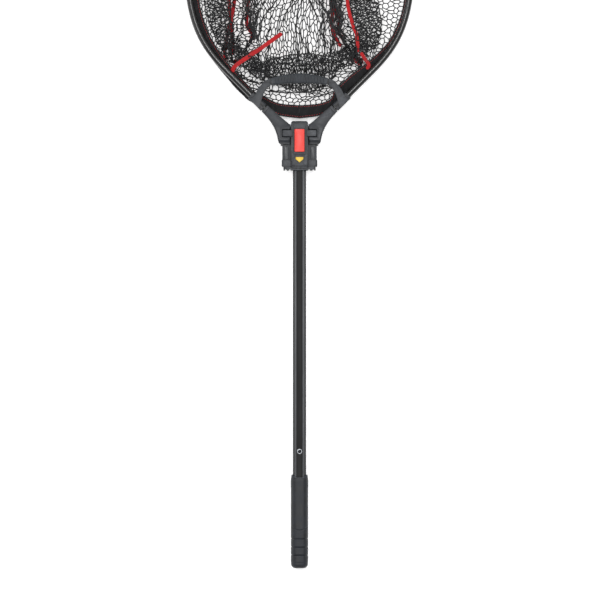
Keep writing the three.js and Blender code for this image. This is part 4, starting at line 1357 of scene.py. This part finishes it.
    def build(self, finish: Finishes) -> list[bpy.types.Object]:
        """Builds the netting.

        Args:
            finish: The net's finishes.

        Returns:
            Its pieces.
        """
        first, second = self.wall()
        upper = first[:, 1] < self.cloth.fold_ring
        pieces = [self.cords("net_upper_wall", first[upper], second[upper], finish),
                  self.cords("net_lower_wall", first[~upper], second[~upper], finish),
                  self.cords("net_base", *self.base(), finish)]
        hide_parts("net_bag")
        return pieces


@dataclass
class BindingTapes:
    """The red tapes sewn along the bag's folds and seams."""

    cloth: BagCloth
    width: float = 6.4 * MM
    thick: float = 2.4 * MM
    rib_pitch: float = 1.9 * MM
    rib_depth: float = 0.16 * MM
    strap_width: float = 7.6 * MM
    band_top: float = 24 * MM
    buried_z: float = 4 * MM
    sewn: tuple[str, ...] = ("left_fold_tape", "right_fold_tape", "left_seam_tape", "right_seam_tape")
    strap: tuple = ((-121.5, 110), (-116, 121.3), (-95, 136), (-73.5, 151.2), (-52, 166.2), (-31.5, 180.7))
    strap_back: tuple = ((-118.6, 128.5), (-106, 135.8), (-91, 144.2), (-77.4, 151.9))
    left_branch: tuple = ((-118.6, 300), (-117.5, 240), (-129.8, 180.7), (-132.3, 162.7), (-135.2, 143.6),
                          (-133.2, 125.8))
    right_inner: tuple = ((56, 320), (58, 260), (60.1, 219.4), (58, 205.9), (61.6, 180.7), (75.2, 157.3))
    right_tail: tuple = ((121, 116), (125, 123), (122.5, 128.5), (118, 134), (114, 140), (110.5, 146))
    right_patch: tuple = ((94, 142), (100, 137), (107, 131), (115, 128))

    def ribbon(self, name: str, points: np.ndarray, width: float, material: bpy.types.Material
               ) -> bpy.types.Object:
        """Sweeps one ribbed tape along points, with rounded ends.

        Args:
            name: The piece's name.
            points: The path through which it runs.
            width: The tape's width.
            material: Its material.

        Returns:
            The piece.
        """
        total = lengths(np.asarray(points))[-1]
        count = int(total / self.rib_pitch * 4) + 2
        path = smooth_path(points, count)
        distance = lengths(path)
        rib = self.rib_depth * np.cos(2 * math.pi * distance / self.rib_pitch)
        from_end = np.minimum(distance, distance[-1] - distance)
        rounding = np.sqrt(1 - np.clip(1 - from_end / (0.5 * width), 0, 0.985) ** 2)
        section = oval(1, 1, 16, 0.7)[::-1]
        sections = np.stack([section * [width * r + 2 * d, self.thick * (0.55 + 0.45 * r) + 2 * d]
                             for r, d in zip(rounding, rib)])
        verts, faces = sweep(path, sections)
        uvs = [(s, float(v)) for s in distance for v in np.linspace(0, width, len(section))]
        return mount(new_piece(name, verts, faces, material, uvs), Body.HEAD)

    def over_net(self, points: Sequence, above: float, buried: bool = False, from_band: bool = False
                 ) -> np.ndarray:
        """Lays a path on the netting, or under its top layer.

        Args:
            points: The path as (x, y), in millimetres.
            above: How far above the surface it lies.
            buried: Whether it lies under the top layer.
            from_band: Whether it starts on top of the rim band.

        Returns:
            The path's points.
        """
        plan = smooth_path(np.array(points, dtype=float) * MM, 24)
        net = self.cloth.points.reshape(-1, 3)
        heights = []
        for place in plan:
            near = net[np.hypot(*(net[:, :2] - place).T) < 8 * MM, 2]
            level = np.percentile(near, 15 if buried else 92) if len(near) else 6 * MM
            heights.append(level + above)
        kernel = np.ones(7) / 7
        heights = np.convolve(np.pad(heights, 3, mode="edge"), kernel, mode="valid")
        if from_band:
            distance = lengths(plan)
            heights = np.maximum(heights, self.band_top - 0.5 * np.maximum(distance - 10 * MM, 0))
        return np.column_stack([plan, np.maximum(heights, self.thick * 0.7)])

    def build(self, finish: Finishes) -> list[bpy.types.Object]:
        """Builds the tapes.

        Args:
            finish: The net's finishes.

        Returns:
            Its pieces.
        """
        pieces = []
        for name, (_, line, _, z, _) in zip(self.sewn, self.cloth.lines()):
            shown = name == "right_fold_tape"
            line = np.array(line[2 if name.endswith("fold_tape") else 1 :]) * MM
            if shown:
                line = np.vstack([[104.2 * MM, 146 * MM], line])
            fold_lift = 6 * MM if name == "left_fold_tape" else 0
            height = z + 1.8 * MM if shown else self.buried_z + fold_lift
            path = np.column_stack([line, np.full(len(line), height)])
            # Tapes under the netting take the darker copy as painted shade.
            pieces.append(self.ribbon(name, path, self.width, finish.tape if shown else finish.shaded_tape))
        strap = self.over_net(self.strap, 2.4 * MM, from_band=True)
        pieces.append(self.ribbon("long_strap", strap, self.strap_width, finish.tape))
        tail = self.over_net(self.right_tail, 2 * MM, from_band=True)
        pieces.append(self.ribbon("right_tail_tape", tail, self.width, finish.tape))
        for name, line in (("strap_back_tape", self.strap_back), ("left_branch_tape", self.left_branch),
                           ("right_inner_tape", self.right_inner), ("right_patch_tape", self.right_patch)):
            path = self.over_net(line, -1 * MM, buried=True)
            wide = 2 * self.width if name == "right_patch_tape" else self.width
            # The buried tapes take the darker copy as painted shade.
            pieces.append(self.ribbon(name, path, wide, finish.shaded_tape))
        return pieces


# ---------------------------------------------------------------- studio


@dataclass
class Studio:
    """The pale floor, the soft lights and the camera straight above."""

    floor_half: float = 9.0
    view_width: float = 1.08
    view_centre: tuple[float, float] = (0.9 * MM, -299.9 * MM)
    focal: float = 200
    sensor: float = 36

    def build(self) -> None:
        """Builds the studio."""
        self.camera()
        self.floor()
        self.lights()
        view = bpy.context.scene.view_settings
        view.view_transform = "Standard"
        view.look = "None"

    def camera(self) -> None:
        """Hangs the camera over the middle of the view."""
        data = bpy.data.cameras.new("overhead_camera")
        data.lens, data.sensor_width = self.focal, self.sensor
        data.clip_end = 60
        camera = bpy.data.objects.new("overhead_camera", data)
        height = self.view_width * self.focal / self.sensor + 30 * MM
        camera.location = (*self.view_centre, height)
        bpy.context.scene.collection.objects.link(camera)
        bpy.context.scene.camera = camera

    def floor(self) -> None:
        """Lays the floor."""
        shader = Shader("white_floor", {"Specular IOR Level": 0.1, "Emission Strength": 0.3})
        shader.surface.inputs["Emission Color"].default_value = srgb("#ffffff")
        tint = shader.ramp(shader.noise(shader.place(), 3, 2), 0.2, 0.8)
        colour = shader.mix(tint, srgb("#fcfcfc"), srgb("#ffffff"))
        half = self.floor_half
        steps = np.linspace(-half, half, 9)
        verts = [(x, y, -0.05 * MM) for y in steps for x in steps]
        floor = new_piece("floor", verts, grid_faces(9, 9, False, False), shader.finish(colour, 0.9))

    def lights(self) -> None:
        """Hangs a broad softbox, a narrow strip above the handle and one fill on the left, under a dim white
        world.
        """
        self.softbox("overhead_softbox", (0.25, 1.0, 2.6), (2.6, 3.0), 40)
        self.softbox("overhead_strip", (0.0, -0.2, 2.3), (0.1, 2.6), 24)
        self.softbox("left_fill", (-2.6, 0.2, 1.5), (1.0, 2.6), 16)
        world = bpy.data.worlds.new("studio_air")
        world.use_nodes = True
        world.node_tree.nodes["Background"].inputs["Color"].default_value = srgb("#ffffff")
        world.node_tree.nodes["Background"].inputs["Strength"].default_value = 0.6
        bpy.context.scene.world = world

    def softbox(self, name: str, place: Sequence[float], size: Sequence[float], power: float) -> None:
        """Hangs one rectangular light, aimed at the middle of the net.

        Args:
            name: The light's name.
            place: Where it hangs.
            size: Its width and length.
            power: Its power in watts.
        """
        data = bpy.data.lights.new(name, "AREA")
        data.shape, data.size, data.size_y, data.energy = "RECTANGLE", size[0], size[1], power
        light = bpy.data.objects.new(name, data)
        light.location = place
        light.rotation_euler = (0, math.atan2(place[0], place[2]) if abs(place[0]) > 1 else 0, 0)
        bpy.context.scene.collection.objects.link(light)


def main() -> None:
    """Builds the studio and every sub-assembly in turn."""
    logging.basicConfig(level=logging.INFO, format="%(name)s: %(message)s")
    Studio().build()
    finish = Finishes()
    HingeBlock().build(finish)
    Release().build(finish)
    Handle().build(finish)
    path = HoopPath()
    Hoop(path).build(finish)
    SleeveGrip().build(finish)
    band = RimBand(path)
    cloth = BagCloth(rim=band.ring(outer=False))
    cloth.drop()
    bag = MeshBag(cloth).build(finish)
    tapes = BindingTapes(cloth).build(finish)
    band.build(finish, [*bag, *tapes])


if __name__ == "__main__":
    main()
